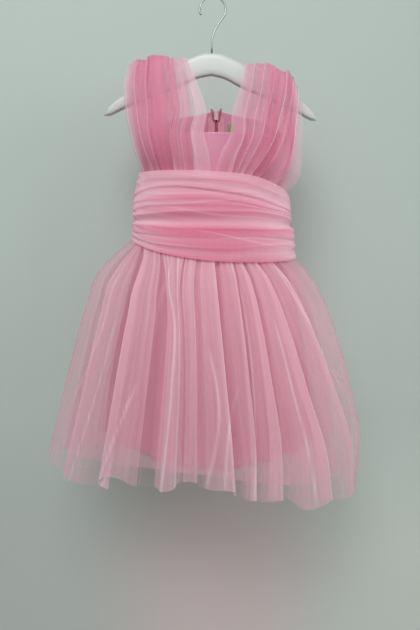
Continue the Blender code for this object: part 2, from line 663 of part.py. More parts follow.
def main():
    clear_scene()
    dress = new_collection("toddler party dress on a hanger")
    helpers = new_collection("cutters and joined shapes", hidden=True)

    white_plastic = finish("white plastic", (0.82, 0.84, 0.83), 0.38)
    steel = finish("steel wire", (0.30, 0.33, 0.33), 0.35, metallic=1.0)
    satin = finish("pink satin", (0.62, 0.25, 0.36), 0.42)
    lining_cloth = finish("pink lining", (0.60, 0.24, 0.35), 0.60)
    tulle = finish("pink tulle", (0.74, 0.36, 0.47), 0.85, alpha=0.55)
    sash_tulle = finish("layered pink tulle", (0.70, 0.30, 0.42), 0.80, alpha=0.95)
    tape = finish("rose zip tape", (0.50, 0.12, 0.19), 0.80)
    zip_metal = finish("painted zip metal", (0.55, 0.36, 0.40), 0.40, metallic=0.6)
    label_cloth = finish("olive label", (0.36, 0.33, 0.20), 0.80)

    hanger_body(white_plastic, dress)
    hanger_hook(steel, dress)

    seam = SIDE_GAP / 2
    slot = ZIP_SLOT / 2
    bodice_panel("bodice_front", 90, 270, (seam, seam), 25, satin, dress)
    bodice_panel("bodice_back_right", 0, 90, (slot, seam), 13, satin, dress)
    bodice_panel("bodice_back_left", 270, 360, (seam, slot), 13, satin, dress)

    drape("drape_left", DRAPE_LEFT, 1, tulle, dress)
    drape("drape_right", DRAPE_RIGHT, -1, tulle, dress)

    sash_panel("sash_front", 90, 270, (seam, seam), 31, sash_tulle, dress)
    sash_panel("sash_back_right", 0, 90, (slot, seam), 16, sash_tulle, dress)
    sash_panel("sash_back_left", 270, 360, (seam, slot), 16, sash_tulle, dress)

    layers = (
        ("skirt_lining", "lining", LINING, SATIN_WALL, lining_cloth),
        ("skirt_under_tulle", "under", UNDER_TULLE, TULLE_WALL, tulle),
        ("skirt_outer_tulle", "outer", OUTER_TULLE, TULLE_WALL, tulle),
    )
    panels = (("front", 90, 270), ("back_right", 0, 90), ("back_left", 270, 360))
    for name, kind, table, thickness, material in layers:
        for panel, start, stop in panels:
            skirt_panel(f"{name}_{panel}", kind, table, thickness, start, stop, material, dress)

    zip_parts(tape, zip_metal, dress, helpers)
    neck_label(label_cloth, dress)


main()
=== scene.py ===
"""The looks of a toddler's tulle party dress on a child's hanger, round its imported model.

Metres in the scene, millimetres in the tables. The dress faces -Y and hangs from the origin, the inside
top of the hook. Round the body a place is an angle: 0 degrees is the centre back, 90 is +X, 180 the
centre front and 270 -X. Left and right are those of someone who faces the front.
"""

import math

import bpy
import numpy as np
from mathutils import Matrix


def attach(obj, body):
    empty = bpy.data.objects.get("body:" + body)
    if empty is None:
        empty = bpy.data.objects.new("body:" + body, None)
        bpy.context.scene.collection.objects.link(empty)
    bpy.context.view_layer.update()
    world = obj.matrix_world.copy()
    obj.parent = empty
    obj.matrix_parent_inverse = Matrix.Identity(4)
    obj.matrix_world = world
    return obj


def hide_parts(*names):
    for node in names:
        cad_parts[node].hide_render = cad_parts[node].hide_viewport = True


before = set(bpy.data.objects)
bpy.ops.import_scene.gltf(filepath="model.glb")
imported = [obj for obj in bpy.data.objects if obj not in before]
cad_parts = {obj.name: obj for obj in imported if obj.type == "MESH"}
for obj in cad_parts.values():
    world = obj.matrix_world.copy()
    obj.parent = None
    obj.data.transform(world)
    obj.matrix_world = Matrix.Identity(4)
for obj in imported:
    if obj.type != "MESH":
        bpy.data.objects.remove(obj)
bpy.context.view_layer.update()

# Camera, wall, floor and light
# A level camera stands 1.1 m in front. A pale grey-green wall close behind the dress takes its soft shadow,
# and below it a rosy glow is painted into its colour: painted pink light, as the skirt would throw on it. It
# shows from its front alone, so that the dress's back can be seen too.
# Three broad lights stand in front above, in front at the right, and behind.

CAMERA_AT = (-0.004245, -1.1, -0.44926)
LENS_MM = 44.42
SENSOR_MM = 36.0
WALL_Y = 0.150
WALL_TOP_Z = 1.5
FLOOR_Z = -1.25
ROOM_HALF_WIDTH = 3.0
WALL_COLOURS = ((0.39, 0.455, 0.425), (0.44, 0.51, 0.475))
PAINTED_GLOW_COLOURS = (
    # painted colours of the wall's lower part, at its left, below the dress (a painted pink glow) and at its
    # right
    (0.43, 0.455, 0.435), (0.59, 0.49, 0.495), (0.52, 0.555, 0.52),
)
FLOOR_COLOUR = (0.475, 0.505, 0.475)
# For the painted glow, how fast a share grows with the place, per metre, and what is added to it.
PAINTED_GLOW_BY_Z = (-4.5, -2.75)
PAINTED_GLOW_BY_X = (2.0, 0.48)
LIGHTS = (
    # name, place, target, size, spread in degrees, watts
    ("window above", (-0.35, -1.8, 1.15), (-0.20, 0.0, 0.05), 1.3, 70.0, 6.6),
    ("window right", (1.7, -1.2, 0.1), (0.1, 0.0, -0.40), 1.0, 180.0, 8.0),
    ("window behind", (0.7, 1.9, 0.6), (0.0, 0.0, -0.40), 1.3, 180.0, 12.0),
)
ROOM_COLOUR = (0.90, 0.95, 0.93)
ROOM_STRENGTH = 0.60
NET_LAYERS_SEEN_THROUGH = 32
scene = bpy.context.scene


def add_object(name, data):
    """A new object of the scene."""
    made = bpy.data.objects.new(name, data)
    scene.collection.objects.link(made)
    return made


def feed(tree, node, inputs):
    """Give each of a node's inputs, by name or number, a number, a colour or a link from a socket."""
    for label, value in inputs.items():
        socket = node.inputs[label]
        if isinstance(value, bpy.types.NodeSocket):
            tree.links.new(value, socket)
        elif socket.type == "RGBA":
            socket.default_value = (*value, 1.0)
        else:
            socket.default_value = value
    return node


def add_node(tree, kind, inputs):
    """A node of this kind, with its inputs fed."""
    return feed(tree, tree.nodes.new(kind), inputs)


def new_material(name):
    """A material, its node tree and its Principled shader."""
    made = bpy.data.materials.new(name)
    made.use_nodes = True
    return made, made.node_tree, made.node_tree.nodes["Principled BSDF"]


def object_place(tree):
    """The place on the object, in metres."""
    return tree.nodes.new("ShaderNodeTexCoord").outputs["Object"]


def soft_noise(tree, vector, scale, detail=2.0):
    """A noise texture read at the vector's place."""
    inputs = {"Vector": vector, "Scale": scale, "Detail": detail}
    return add_node(tree, "ShaderNodeTexNoise", inputs).outputs["Fac"]


def blend(tree, factor, first, second):
    """A colour between two colours, by a factor."""
    mix = tree.nodes.new("ShaderNodeMix")
    mix.data_type = "RGBA"
    return feed(tree, mix, {"Factor": factor, "A": first, "B": second}).outputs["Result"]


def calculate(tree, operation, *values, clamp=False):
    """A Math node on its values, each a socket or a number."""
    node = tree.nodes.new("ShaderNodeMath")
    node.operation = operation
    node.use_clamp = clamp
    return feed(tree, node, dict(enumerate(values))).outputs["Value"]


def mix_shaders(tree, factor, first, second):
    """A shader between two shaders, by a factor."""
    return add_node(tree, "ShaderNodeMixShader", {0: factor, 1: first, 2: second}).outputs["Shader"]


def room_plane(name, start, stop, material):
    """A rectangle as wide as the room, from one line along X to another, each given by its y and z."""
    left, right = -ROOM_HALF_WIDTH, ROOM_HALF_WIDTH
    mesh = bpy.data.meshes.new(name)
    mesh.from_pydata([(left, *start), (right, *start), (right, *stop), (left, *stop)], [], [(0, 1, 2, 3)])
    mesh.materials.append(material)
    return add_object(name, mesh)


camera = add_object("camera", bpy.data.cameras.new("camera"))
camera.data.lens = LENS_MM
camera.data.sensor_width = SENSOR_MM
camera.location = CAMERA_AT
camera.rotation_euler = (math.pi / 2, 0.0, 0.0)
scene.camera = camera

wall_paint, tree, shader = new_material("grey green wall paint")
upper = blend(tree, soft_noise(tree, object_place(tree), 1.3), *WALL_COLOURS)
at = add_node(tree, "ShaderNodeSeparateXYZ", {"Vector": object_place(tree)}).outputs
painted_glow_share = calculate(tree, "MULTIPLY_ADD", at["Z"], *PAINTED_GLOW_BY_Z, clamp=True)
painted_glow_across = calculate(tree, "MULTIPLY_ADD", at["X"], *PAINTED_GLOW_BY_X, clamp=True)
painted_glow_ramp = add_node(tree, "ShaderNodeValToRGB", {"Fac": painted_glow_across})
ramp = painted_glow_ramp.color_ramp
ramp.interpolation = "EASE"
ramp.elements.new(0.5)
for element, colour in zip(ramp.elements, PAINTED_GLOW_COLOURS):
    element.color = (*colour, 1.0)
# The wall's lower part takes the painted glow: painted pink light below the dress, lighter at the right.
feed(tree, shader, {"Base Color": blend(tree, painted_glow_share, upper, painted_glow_ramp.outputs["Color"]), "Roughness": 0.9})
from_behind = tree.nodes.new("ShaderNodeNewGeometry").outputs["Backfacing"]
unseen = tree.nodes.new("ShaderNodeBsdfTransparent").outputs["BSDF"]
one_sided = mix_shaders(tree, from_behind, shader.outputs["BSDF"], unseen)
feed(tree, tree.nodes["Material Output"], {"Surface": one_sided})
floor_paint = wall_paint.copy()
floor_paint.node_tree.nodes[painted_glow_ramp.name].color_ramp.elements[1].color = (*FLOOR_COLOUR, 1.0)
wall = room_plane("wall", (WALL_Y, FLOOR_Z), (WALL_Y, WALL_TOP_Z), wall_paint)
floor = room_plane("floor", (-ROOM_HALF_WIDTH, FLOOR_Z), (WALL_Y, FLOOR_Z), floor_paint)
wall.visible_diffuse = False
wall.visible_shadow = False

for name, place, target, size, spread, watts in LIGHTS:
    light = bpy.data.lights.new(name, "AREA")
    light.size = size
    light.spread = math.radians(spread)
    light.energy = watts
    lamp = add_object(name, light)
    lamp.location = place
    x, y, z = np.array(target) - np.array(place)
    pitch = math.atan2(z, math.hypot(x, y)) + math.pi / 2
    lamp.rotation_euler = (pitch, 0.0, math.atan2(y, x) - math.pi / 2)

world = bpy.data.worlds.new("soft room")
scene.world = world
world.use_nodes = True
sky = world.node_tree.nodes["Background"]
feed(world.node_tree, sky, {"Color": ROOM_COLOUR, "Strength": ROOM_STRENGTH})
scene.view_settings.view_transform = "Standard"
scene.cycles.transparent_max_bounces = NET_LAYERS_SEEN_THROUGH

# Hanger
# A child's hanger moulded from glossy white plastic: an arched blade, flat at its sides and rounded at
# its edges, with a bent steel wire hook set into its middle.

MM = 0.001
TURN = 2 * np.pi
HANGER_TILT = math.radians(1.3)
BLADE_THICKNESS = 13.0
BLADE_HALF_LENGTH = 149.8
BLADE_CORNER = 0.45
BLADE_UPPER = (
    # x from centre, z
    (0, -80), (12, -80.6), (22, -84), (47, -96.5), (87, -120),
    (112, -135.5), (128, -145.5), (138, -153.5), (145, -161.8), (149, -168.6), (150, -170.5),
)
BLADE_LOWER = (
    (0, -110.5), (18, -114.5), (40, -125.5), (88, -144.5), (125, -161.5), (145, -170.6),
    (150, -170.6),
)
HOOK_WIRE = 2.8
HOOK_RADIUS = 18.4
HOOK_ARC = (205.0, -35.0)
HOOK_NECK_Z = -62.0
HOOK_FOOT_Z = (-70.0, -79.0)
MERGE_DISTANCE = 0.01


def smooth_table(table, column, at):
    """A table's column read at any place: a cubic through its rows, with each row's slope taken from its
    two neighbours."""
    places, values = (np.array([row[place] for row in table], float) for place in (0, column))
    if places[0] > places[-1]:
        places, values = places[::-1], values[::-1]
    slopes = np.gradient(values, places)
    at = np.clip(at, places[0], places[-1])
    cell = np.clip(np.searchsorted(places, at, side="right") - 1, 0, len(places) - 2)
    width = places[cell + 1] - places[cell]
    t = (at - places[cell]) / width
    straight = values[cell] + (values[cell + 1] - values[cell]) * t**2 * (3 - 2 * t)
    return straight + width * t * (1 - t) * (slopes[cell] * (1 - t) - slopes[cell + 1] * t)


def points_of(x, y, z):
    """Points from their coordinates, each an array or a number."""
    return np.stack(np.broadcast_arrays(x, y, z), axis=-1)


def unit(vectors):
    """Vectors made 1 long."""
    return vectors / (np.linalg.norm(vectors, axis=-1, keepdims=True) + 1e-9)


def grid_faces(rows, columns, closed=False):
    """Quads of a grid of rows by columns, with the last column joined to the first if closed."""
    index = np.arange(rows * columns).reshape(rows, columns)
    if closed:
        index = np.concatenate([index, index[:, :1]], axis=1)
    corners = (index[:-1, :-1], index[1:, :-1], index[1:, 1:], index[:-1, 1:])
    return np.stack([corner.ravel() for corner in corners], axis=1)


def add_mesh(name, points, faces, material):
    """An object from points in mm and quads, smooth shaded."""
    mesh = bpy.data.meshes.new(name)
    mesh.vertices.add(points.size // 3)
    mesh.vertices.foreach_set("co", (points * MM).astype(np.float32).ravel())
    mesh.loops.add(faces.size)
    mesh.loops.foreach_set("vertex_index", faces.astype(np.int32).ravel())
    mesh.polygons.add(len(faces))
    mesh.polygons.foreach_set("loop_start", np.arange(0, faces.size, 4, dtype=np.int32))
    mesh.update(calc_edges=True)
    mesh.shade_smooth()
    mesh.materials.append(material)
    return add_object(name, mesh)


def add_skins(name, skins, material):
    """An object of closed skins. Each is a stack of rings with as many points as the others have, and each
    of its ends is drawn to its ring's middle."""
    skins = np.stack(skins)
    start, stop = (skins[:, place].mean(axis=2, keepdims=True) + 0 * skins[:, place] for place in ([0], [-1]))
    skins = np.concatenate([start, skins, stop], axis=1)
    number, rings, sides = skins.shape[:3]
    faces = grid_faces(rings, sides, closed=True)
    faces = (faces + rings * sides * np.arange(number)[:, None, None]).reshape(-1, 4)
    made = add_mesh(name, skins, faces, material)
    weld = made.modifiers.new("closed ends", "WELD")
    weld.merge_threshold = MERGE_DISTANCE * MM
    return made


def tube(middle, across, radius, sides):
    """Rings round a line of points. The first point of each lies at right angles to the line and to
    across."""
    forward = unit(np.gradient(middle, axis=0))
    first = unit(np.cross(forward, across))
    second = np.cross(first, forward)
    turn = np.linspace(0.0, TURN, sides, endpoint=False)[:, None]
    return middle[:, None] + radius * (np.cos(turn) * first[:, None] + np.sin(turn) * second[:, None])


def tilted(points):
    """Points turned with the hanger round the hook's top."""
    x, y, z = np.moveaxis(points, -1, 0)
    sine, cosine = math.sin(HANGER_TILT), math.cos(HANGER_TILT)
    return points_of(x * cosine + z * sine, y, z * cosine - x * sine)


def bumps(tree, height, strength, distance):
    """A normal that follows a height."""
    inputs = {"Height": height, "Strength": strength, "Distance": distance}
    return add_node(tree, "ShaderNodeBump", inputs).outputs["Normal"]


def dyed(name, scale, detail, dark, light, roughness, metallic=0.0):
    """A material whose colour wanders softly between two: the material, its tree, its shader and the
    noise that its colour follows."""
    made, tree, shader = new_material(name)
    noise = soft_noise(tree, object_place(tree), scale, detail)
    colour = blend(tree, noise, dark, light)
    feed(tree, shader, {"Base Color": colour, "Roughness": roughness, "Metallic": metallic})
    return made, tree, shader, noise


def fit(piece, node):
    """A piece rides on the dress and stands for a node of the CAD."""
    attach(piece, "dress")
    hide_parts(node)


plastic, tree, shader, flow = dyed(
    "glossy white plastic", 28.0, 4.0, (0.46, 0.49, 0.475), (0.52, 0.55, 0.53), roughness=0.3
)
roughness = calculate(tree, "MULTIPLY_ADD", flow, 0.12, 0.26)
feed(tree, shader, {"Roughness": roughness, "Normal": bumps(tree, flow, 0.08, 0.001)})
steel = dyed(
    "grey steel wire", 900.0, 3.0, (0.25, 0.29, 0.29), (0.38, 0.42, 0.42), roughness=0.35, metallic=1.0
)[0]

# The blade: sections across it, each a rectangle with round corners, from tip to tip.
along = BLADE_HALF_LENGTH * np.sin(np.linspace(-np.pi / 2, np.pi / 2, 121))[:, None]
upper, lower = (smooth_table(table, 1, np.abs(along)) for table in (BLADE_UPPER, BLADE_LOWER))
turn = np.linspace(0.0, TURN, 40, endpoint=False)
waves = np.stack([np.cos(turn), np.sin(turn)])
square_cos, square_sin = np.sign(waves) * np.abs(waves) ** BLADE_CORNER
half_height = np.maximum((upper - lower) / 2, 0.1)
half_wall = BLADE_THICKNESS / 2 * np.minimum(1.0, 0.35 + half_height / 8)
sections = points_of(along, -half_wall * square_cos, (upper + lower) / 2 + half_height * square_sin)
fit(add_skins("hanger_blade", [tilted(sections)], plastic), "hanger_body")

# The hook's wire: an arc from its free end over the top, then an S-bend down to the blade.
arc = np.radians(np.linspace(*HOOK_ARC, 60))
arc_x = HOOK_RADIUS * np.cos(arc)
arc_z = HOOK_WIRE / 2 - HOOK_RADIUS + HOOK_RADIUS * np.sin(arc)
t = np.linspace(0.0, 1.0, 24)[1:]
wire_x = np.concatenate([arc_x, arc_x[-1] * (1 - t) ** 2 * (1 + 0.4 * t), [0.0, 0.0]])
wire_z = np.concatenate([arc_z, arc_z[-1] + (HOOK_NECK_Z - arc_z[-1]) * t, HOOK_FOOT_Z])
wire = tube(points_of(wire_x, 0.0, wire_z), (0.0, 1.0, 0.0), HOOK_WIRE / 2, sides=14)
fit(add_skins("hook_wire", [tilted(wire)], steel), "hanger_hook")

# Skirt lining
# An opaque satin lining in three panels, front and two backs, slightly gathered into the waist seam under
# the sash. Its hem is turned up and stitched.

WAIST_SEAM_Z = -318.0
BACK_SEAM_X = 5.0
UNDER_SASH = 0.8
BODY_WIDTH_TO_DEPTH = 1.8
SASH_EDGES = (
    # angle, top z, bottom z
    (0, -262, -352),
    (45, -270, -358),
    (90, -284, -367),
    (125, -272, -376),
    (150, -262, -379),
    (180, -257.5, -378),
    (215, -254, -367),
    (245, -252, -352),
    (270, -251, -340),
    (315, -256, -346),
    (360, -262, -352),
)
LINING = (
    # share, left, right, front, back
    (0, 101, 101, 61, 53.8),
    (0.1, 107, 106.5, 65, 57),
    (0.3, 121, 119, 72, 62),
    (0.65, 141, 133, 79, 67),
    (1, 152, 141, 83, 70),
)
# The oval at the waist seam, under the sash: left, right, front, back.
LINING_WAIST = (98.9, 98.9, 57.9, 50.9)
LINING_HEM = (
    # angle, z
    (0, -640), (45, -630), (90, -618), (128, -630), (155, -645), (180, -651),
    (205, -643), (230, -626), (250, -614), (270, -608), (315, -626), (360, -640),
)
LINING_FOLDS = 16
FOLD_AT_TOP = 0.06
FOLD_GROWTH = 0.75
GATHERS_PER_FOLD = 4
GATHERS_DIE_OUT = 0.14
FULL_DEPTH = 6.0
LINING_WALL = 0.8
SATIN_THREADS_PER_METRE = 1400.0
SKIRT_PANELS = (("front", 90.0, 270.0), ("back_right", 0.0, 90.0), ("back_left", 270.0, 360.0))


def sizes_at(table, at):
    """The left, right, front and back sizes of a table's oval, read at any place."""
    return [smooth_table(table, column, at) for column in (1, 2, 3, 4)]


def oval(angle, left, right, front, back):
    """A point of the oval with these half widths and depths: each quarter is a quarter ellipse. The
    centre back lies at BACK_SEAM_X, and that shift dies out towards the sides and the front."""
    sine, cosine = np.sin(angle), np.cos(angle)
    x = np.where(sine > 0, right, left) * sine
    y = np.where(cosine > 0, back, front) * cosine
    return x + BACK_SEAM_X * np.maximum(cosine, 0.0) ** 2, y


def outwards(points):
    """Level unit vectors out of the body's oval at these points."""
    return unit(points * np.array([1 / BODY_WIDTH_TO_DEPTH**2, 1.0, 0.0]))


def round_angles(start, stop, count):
    """Angles in radians from start to stop, in degrees, evenly spaced along the body's oval."""
    dense = np.radians(np.linspace(start, stop, 400))
    step = np.hypot(np.diff(BODY_WIDTH_TO_DEPTH * np.sin(dense)), np.diff(np.cos(dense)))
    run = np.concatenate([[0.0], np.cumsum(step)])
    return np.interp(np.linspace(0.0, run[-1], count), run, dense)


def even_folds(number, out, lap, gap, lean):
    """Rows of valleys spread evenly round the body, a little uneven, and low at the sides: angle
    at the waist, angle at the hem, turn, out, lap, gap, lean, opens and net."""
    place = round_angles(0.0, 360.0, number + 1)[:-1]
    count = np.arange(number)
    wander = 0.4 * np.pi / number * np.sin(2.4 * count) * np.abs(np.sin(2 * place))
    flat_side = 1 - 0.85 * np.abs(np.sin(place)) ** 4
    columns = (
        place + wander,
        place + 0.4 * wander,
        0.6,
        out * (1 + 0.22 * np.sin(1.7 * count + 0.4)) * flat_side,
        lap * (1 + 0.25 * np.sin(2.9 * count)) * flat_side,
        gap * (1 + 0.2 * np.sin(4.1 * count)),
        lean * np.sin(2.1 * count + 0.6) * flat_side,
        0.0,
        1 + 0.2 * np.sin(3.3 * count),
    )
    return np.stack(np.broadcast_arrays(*columns), axis=1)


def fold_shape(place, lap, gap, lean):
    """How a fold lies at a place, where whole numbers are valleys. The slide sideways, in widths of a
    fold, is a double wave that laps each fold over its valley, a single wave that closes the valley, and
    a lean that laps one side further than the other. The height is a flattened cosine from -1 in the
    valley to 1 on the fold. Where the slide turns back, the net is seen on edge: there it is made denser
    and painted pale, a painted highlight along the fold's edge."""
    phase = TURN * place
    slide = (0.5 * lap * np.sin(2 * phase) - gap * np.sin(phase) + lean * np.cos(phase)) / TURN
    height = -np.cos(phase)
    run = 1 + lap * np.cos(2 * phase) - gap * np.cos(phase) - lean * np.sin(phase)
    on_edge = np.exp(-((run / 0.55) ** 2)) * np.clip(height + 0.6, 0.0, 1.0)
    return slide, height * (1.5 - 0.5 * height**2), on_edge


def net_on_fold(place, depth, lean, net):
    """How much net lies at a place, about 1 on a fold, and how near it is to its fold's crisp edge, from
    -1 to 1. There is little in a deep valley, and less on the side of a fold that slips under the next."""
    toward_edge = np.clip(lean, -1.0, 1.0) * np.cos(np.pi * (place % 1.0))
    valley = (0.5 + 0.5 * np.cos(TURN * place)) ** 4 * np.clip(depth, 0.0, 1.0)
    there = 1 - 0.8 * valley * (1 - np.clip(toward_edge, 0.0, 1.0)) + 0.48 * toward_edge
    return net * np.clip(there, 0.1, 1.5), toward_edge


def gathered_layer(table, waist_sizes, hem_table, folds, per_fold, rows, gather):
    """A whole skirt layer: a grid of points in mm, their angles at the hem, how much net lies at each,
    how much it is on edge, how near its fold's crisp edge, the normals of the broad form, and the angle of
    each point in degrees. They are the table's oval, with each fold's height added outwards and its slide
    added along the oval, both growing down the skirt, plus fine gathers that die out below the sash. A
    valley runs from its angle at the waist to its angle at the hem, as a power of the way down, or fast
    at first where its turn is below 1."""
    number = len(folds)
    place = np.arange(number * per_fold + 1) / per_fold
    knots = np.arange(-1, number + 2)
    out, lap, gap, lean, opens = (
        np.interp(place, knots, [values[-1], *values, values[0], values[1]]) for values in folds[:, 3:8].T
    )
    share = np.concatenate([[0.0], np.linspace(0.0, 1.0, rows) ** 1.15])[:, None]
    waist, hem, power = folds[:, :3].T
    quick = 0.3 * power
    settled = np.where(power < 1, (1 - np.exp(-share / quick)) / (1 - np.exp(-1 / quick)), share**power)
    valleys = waist + (hem - waist) * settled
    ring = np.concatenate([valleys[:, -1:] - TURN, valleys, valleys[:, :1] + TURN], axis=1)
    gaps = (ring[:, 2:] - ring[:, :-2]) / 2
    gaps = np.concatenate([gaps, gaps[:, :1]], axis=1)
    cell = np.minimum(place.astype(int), number - 1)
    part = place - cell
    centre = ring[:, cell + 1] * (1 - part) + ring[:, cell + 2] * part
    width = gaps[:, cell] * (1 - part) + gaps[:, cell + 1] * part
    opened = np.clip((share - opens) / 0.22 + 0.75, 0.25, 1.0)
    opened[0] = 0.2
    slide, height, on_edge = fold_shape(place, lap, gap, lean)
    degrees = np.degrees(centre)
    angles = centre + slide * width * opened
    x, y = oval(angles, *sizes_at(table, share))
    x[0], y[0] = oval(angles[0], *waist_sizes)
    top = smooth_table(SASH_EDGES, 2, degrees) - UNDER_SASH
    z = top + (smooth_table(hem_table, 1, degrees) - top) * share
    z[0] = WAIST_SEAM_Z
    gathers = np.cos(TURN * GATHERS_PER_FOLD * place + 1.5 * np.sin(2.3 * place))
    growth = FOLD_AT_TOP + (1 - FOLD_AT_TOP) * share**FOLD_GROWTH
    wander = 1 + 0.18 * np.sin(5.0 * share + 1.7 * np.floor(place) + 0.6)
    reach = height * out * growth * opened * wander + gather * np.exp(-share / GATHERS_DIE_OUT) * gathers
    reach[0] = 0.0
    outward = unit(points_of(np.sin(angles) / BODY_WIDTH_TO_DEPTH, np.cos(angles), 0.0))
    points = points_of(x, y, z) + outward * reach[:, :, None]
    broad = unit(outward + points_of(0.0, 0.0, 0.26 - 0.38 * share))
    net, toward_edge = net_on_fold(place, out / FULL_DEPTH, lean, folds[cell, 8])
    streaks = 0.10 * np.cos(TURN * 2.5 * place + 2.0 * np.sin(3.0 * place) + 1.5 * share)
    net = net * (1 + 0.30 * np.exp(-share / 0.22) * gathers + streaks)
    return points, degrees[-1], net, on_edge * opened, toward_edge, broad, np.degrees(angles)


def lengths(points):
    """Length along each row of a grid from its first column, and down each column from its first row."""
    across = np.linalg.norm(np.diff(points, axis=1), axis=2).cumsum(axis=1)
    down = np.linalg.norm(np.diff(points, axis=0), axis=2).cumsum(axis=0)
    return np.pad(across, ((0, 0), (1, 0))), np.pad(down, ((1, 0), (0, 0)))


def unit_normals(points):
    """Unit normals of a grid of points, from the steps along its rows and its columns."""
    return unit(np.cross(np.gradient(points, axis=0), np.gradient(points, axis=1)))


def sheet(name, points, cover, material, pale=0.0, wall=0.0, grain_across=False, smooth=None):
    """A sheet of cloth on a grid of points in mm. Its UV map holds metres of cloth, and the second of its
    two values follows the grain. The attribute cover says how much thread hides what lies behind, and
    pale how light the net is painted there, on tulle partly painted light: highlights on fold edges and
    crests. With smooth, the outward normals of its broad form, its faces point outwards too and its folds
    are shaded softly: net has no hard side for light to fall on."""
    rows, columns = points.shape[:2]
    faces = grid_faces(rows, columns)
    own = unit_normals(points)
    if smooth is not None and (own * smooth).sum() < 0:
        faces, own = faces[:, ::-1], -own
    made = add_mesh(name, points, faces, material)
    across, down = lengths(points)
    u, v = np.broadcast_arrays(across[-1] * MM, down.mean(axis=1)[:, None] * MM)
    if grain_across:
        u, v = v, u
    corner = faces.ravel()
    layer = made.data.uv_layers.new(name="cloth")
    uv = np.stack([u.ravel()[corner], v.ravel()[corner]], axis=1)
    layer.data.foreach_set("uv", uv.astype(np.float32).ravel())
    for label, values in (("cover", cover), ("pale", pale)):
        kept = made.data.attributes.new(label, "FLOAT", "POINT")
        kept.data.foreach_set("value", np.broadcast_to(values, (rows, columns)).astype(np.float32).ravel())
    if smooth is not None:
        side = np.sign((own * smooth).sum(axis=2, keepdims=True))
        soft = unit(0.3 * own + 0.7 * side * smooth)
        made.data.normals_split_custom_set_from_vertices(soft.reshape(-1, 3))
    if wall:
        shell = made.modifiers.new("wall", "SOLIDIFY")
        shell.thickness = wall * MM
        shell.offset = 0.0
    return made


def cloth_group(name, scale_name, scale, outputs):
    """An empty node group that reads the cloth's UV map at a scale: the group, its two inputs and its
    output node."""
    group = bpy.data.node_groups.new(name, "ShaderNodeTree")
    group.interface.new_socket("Cloth", in_out="INPUT", socket_type="NodeSocketVector")
    size = group.interface.new_socket(scale_name, in_out="INPUT", socket_type="NodeSocketFloat")
    size.default_value = scale
    for label in outputs:
        group.interface.new_socket(label, in_out="OUTPUT", socket_type="NodeSocketFloat")
    entry = group.nodes.new("NodeGroupInput").outputs
    return group, entry["Cloth"], entry[scale_name], group.nodes.new("NodeGroupOutput")


def drawn_out(tree, cloth, share):
    """The cloth's UV map with its second direction at a share of its scale, so that what a noise draws on
    it runs lengthwise."""
    node = tree.nodes.new("ShaderNodeVectorMath")
    node.operation = "MULTIPLY"
    return feed(tree, node, {0: cloth, 1: (1.0, share, 1.0)}).outputs["Vector"]


def cloth_uv(tree):
    """The UV map that holds metres of cloth."""
    node = tree.nodes.new("ShaderNodeUVMap")
    node.uv_map = "cloth"
    return node.outputs["UV"]


def on_cloth(tree, group):
    """The outputs of a node group that reads the cloth's UV map."""
    node = tree.nodes.new("ShaderNodeGroup")
    node.node_tree = group
    return feed(tree, node, {"Cloth": cloth_uv(tree)}).outputs


def attribute(tree, name):
    """A value that the sheet keeps at its points."""
    node = tree.nodes.new("ShaderNodeAttribute")
    node.attribute_name = name
    return node.outputs["Fac"]


# Satin's weave: long fine threads down the cloth, and broad soft unevenness.
weave, cloth, scale, result = cloth_group(
    "satin weave", "Threads per metre", SATIN_THREADS_PER_METRE, ("Height", "Cloud")
)
threads = soft_noise(weave, drawn_out(weave, cloth, 0.12), scale)
feed(weave, result, {"Height": threads, "Cloud": soft_noise(weave, cloth, 14.0, 3.0)})


def satin(name, pale, deep, roughness, sheen):
    """Satin between two colours, with its weave. Its turned-in edge, where the attribute cover falls below 1,
    is painted lighter: a painted highlight where the rolled edge catches the light."""
    made, tree, shader = new_material(name)
    woven = on_cloth(tree, weave)
    # The turned-in edge's painted highlight: the satin's colours made 15 % lighter.
    edge = [min(1.0, 1.15 * value) for value in pale]
    colour = blend(tree, attribute(tree, "cover"), edge, blend(tree, woven["Cloud"], deep, pale))
    feed(tree, shader, {
        "Base Color": colour,
        "Normal": bumps(tree, woven["Height"], 0.25, 0.0004),
        "Roughness": roughness,
        "Sheen Weight": sheen,
        "Sheen Roughness": 0.4,
    })
    return made


def panel_of(angles, start, stop):
    """The columns of a layer that lie between two seams, up to the column nearest each."""
    return slice(int(np.abs(angles - start).argmin()), int(np.abs(angles - stop).argmin()) + 1)


lining_satin = satin(
    "pink lining satin", (0.60, 0.22, 0.31), (0.54, 0.19, 0.28), roughness=0.60, sheen=0.1
)
valleys = even_folds(LINING_FOLDS, out=4.0, lap=0.5, gap=0.4, lean=0.2)
lining_points, angles = gathered_layer(
    LINING, LINING_WAIST, LINING_HEM, valleys, per_fold=12, rows=44, gather=0.5
)[:2]
for panel, start, stop in SKIRT_PANELS:
    columns = panel_of(angles, start, stop)
    piece = sheet(f"lining_{panel}", lining_points[:, columns], 1.0, lining_satin, wall=LINING_WALL)
    fit(piece, f"skirt_lining_{panel}")
    width = 0.38 if panel == "front" else 0.18

# Skirt tulle
# Two gathered layers of fine net over the lining, raw at the hem. Close gathers at the waist open out into
# broad soft folds that lean over each other, so the net is densest at the waist and along each fold's edge.
# The net is painted paler toward each fold's crisp edge, painted light, with painted highlights along the
# edges.

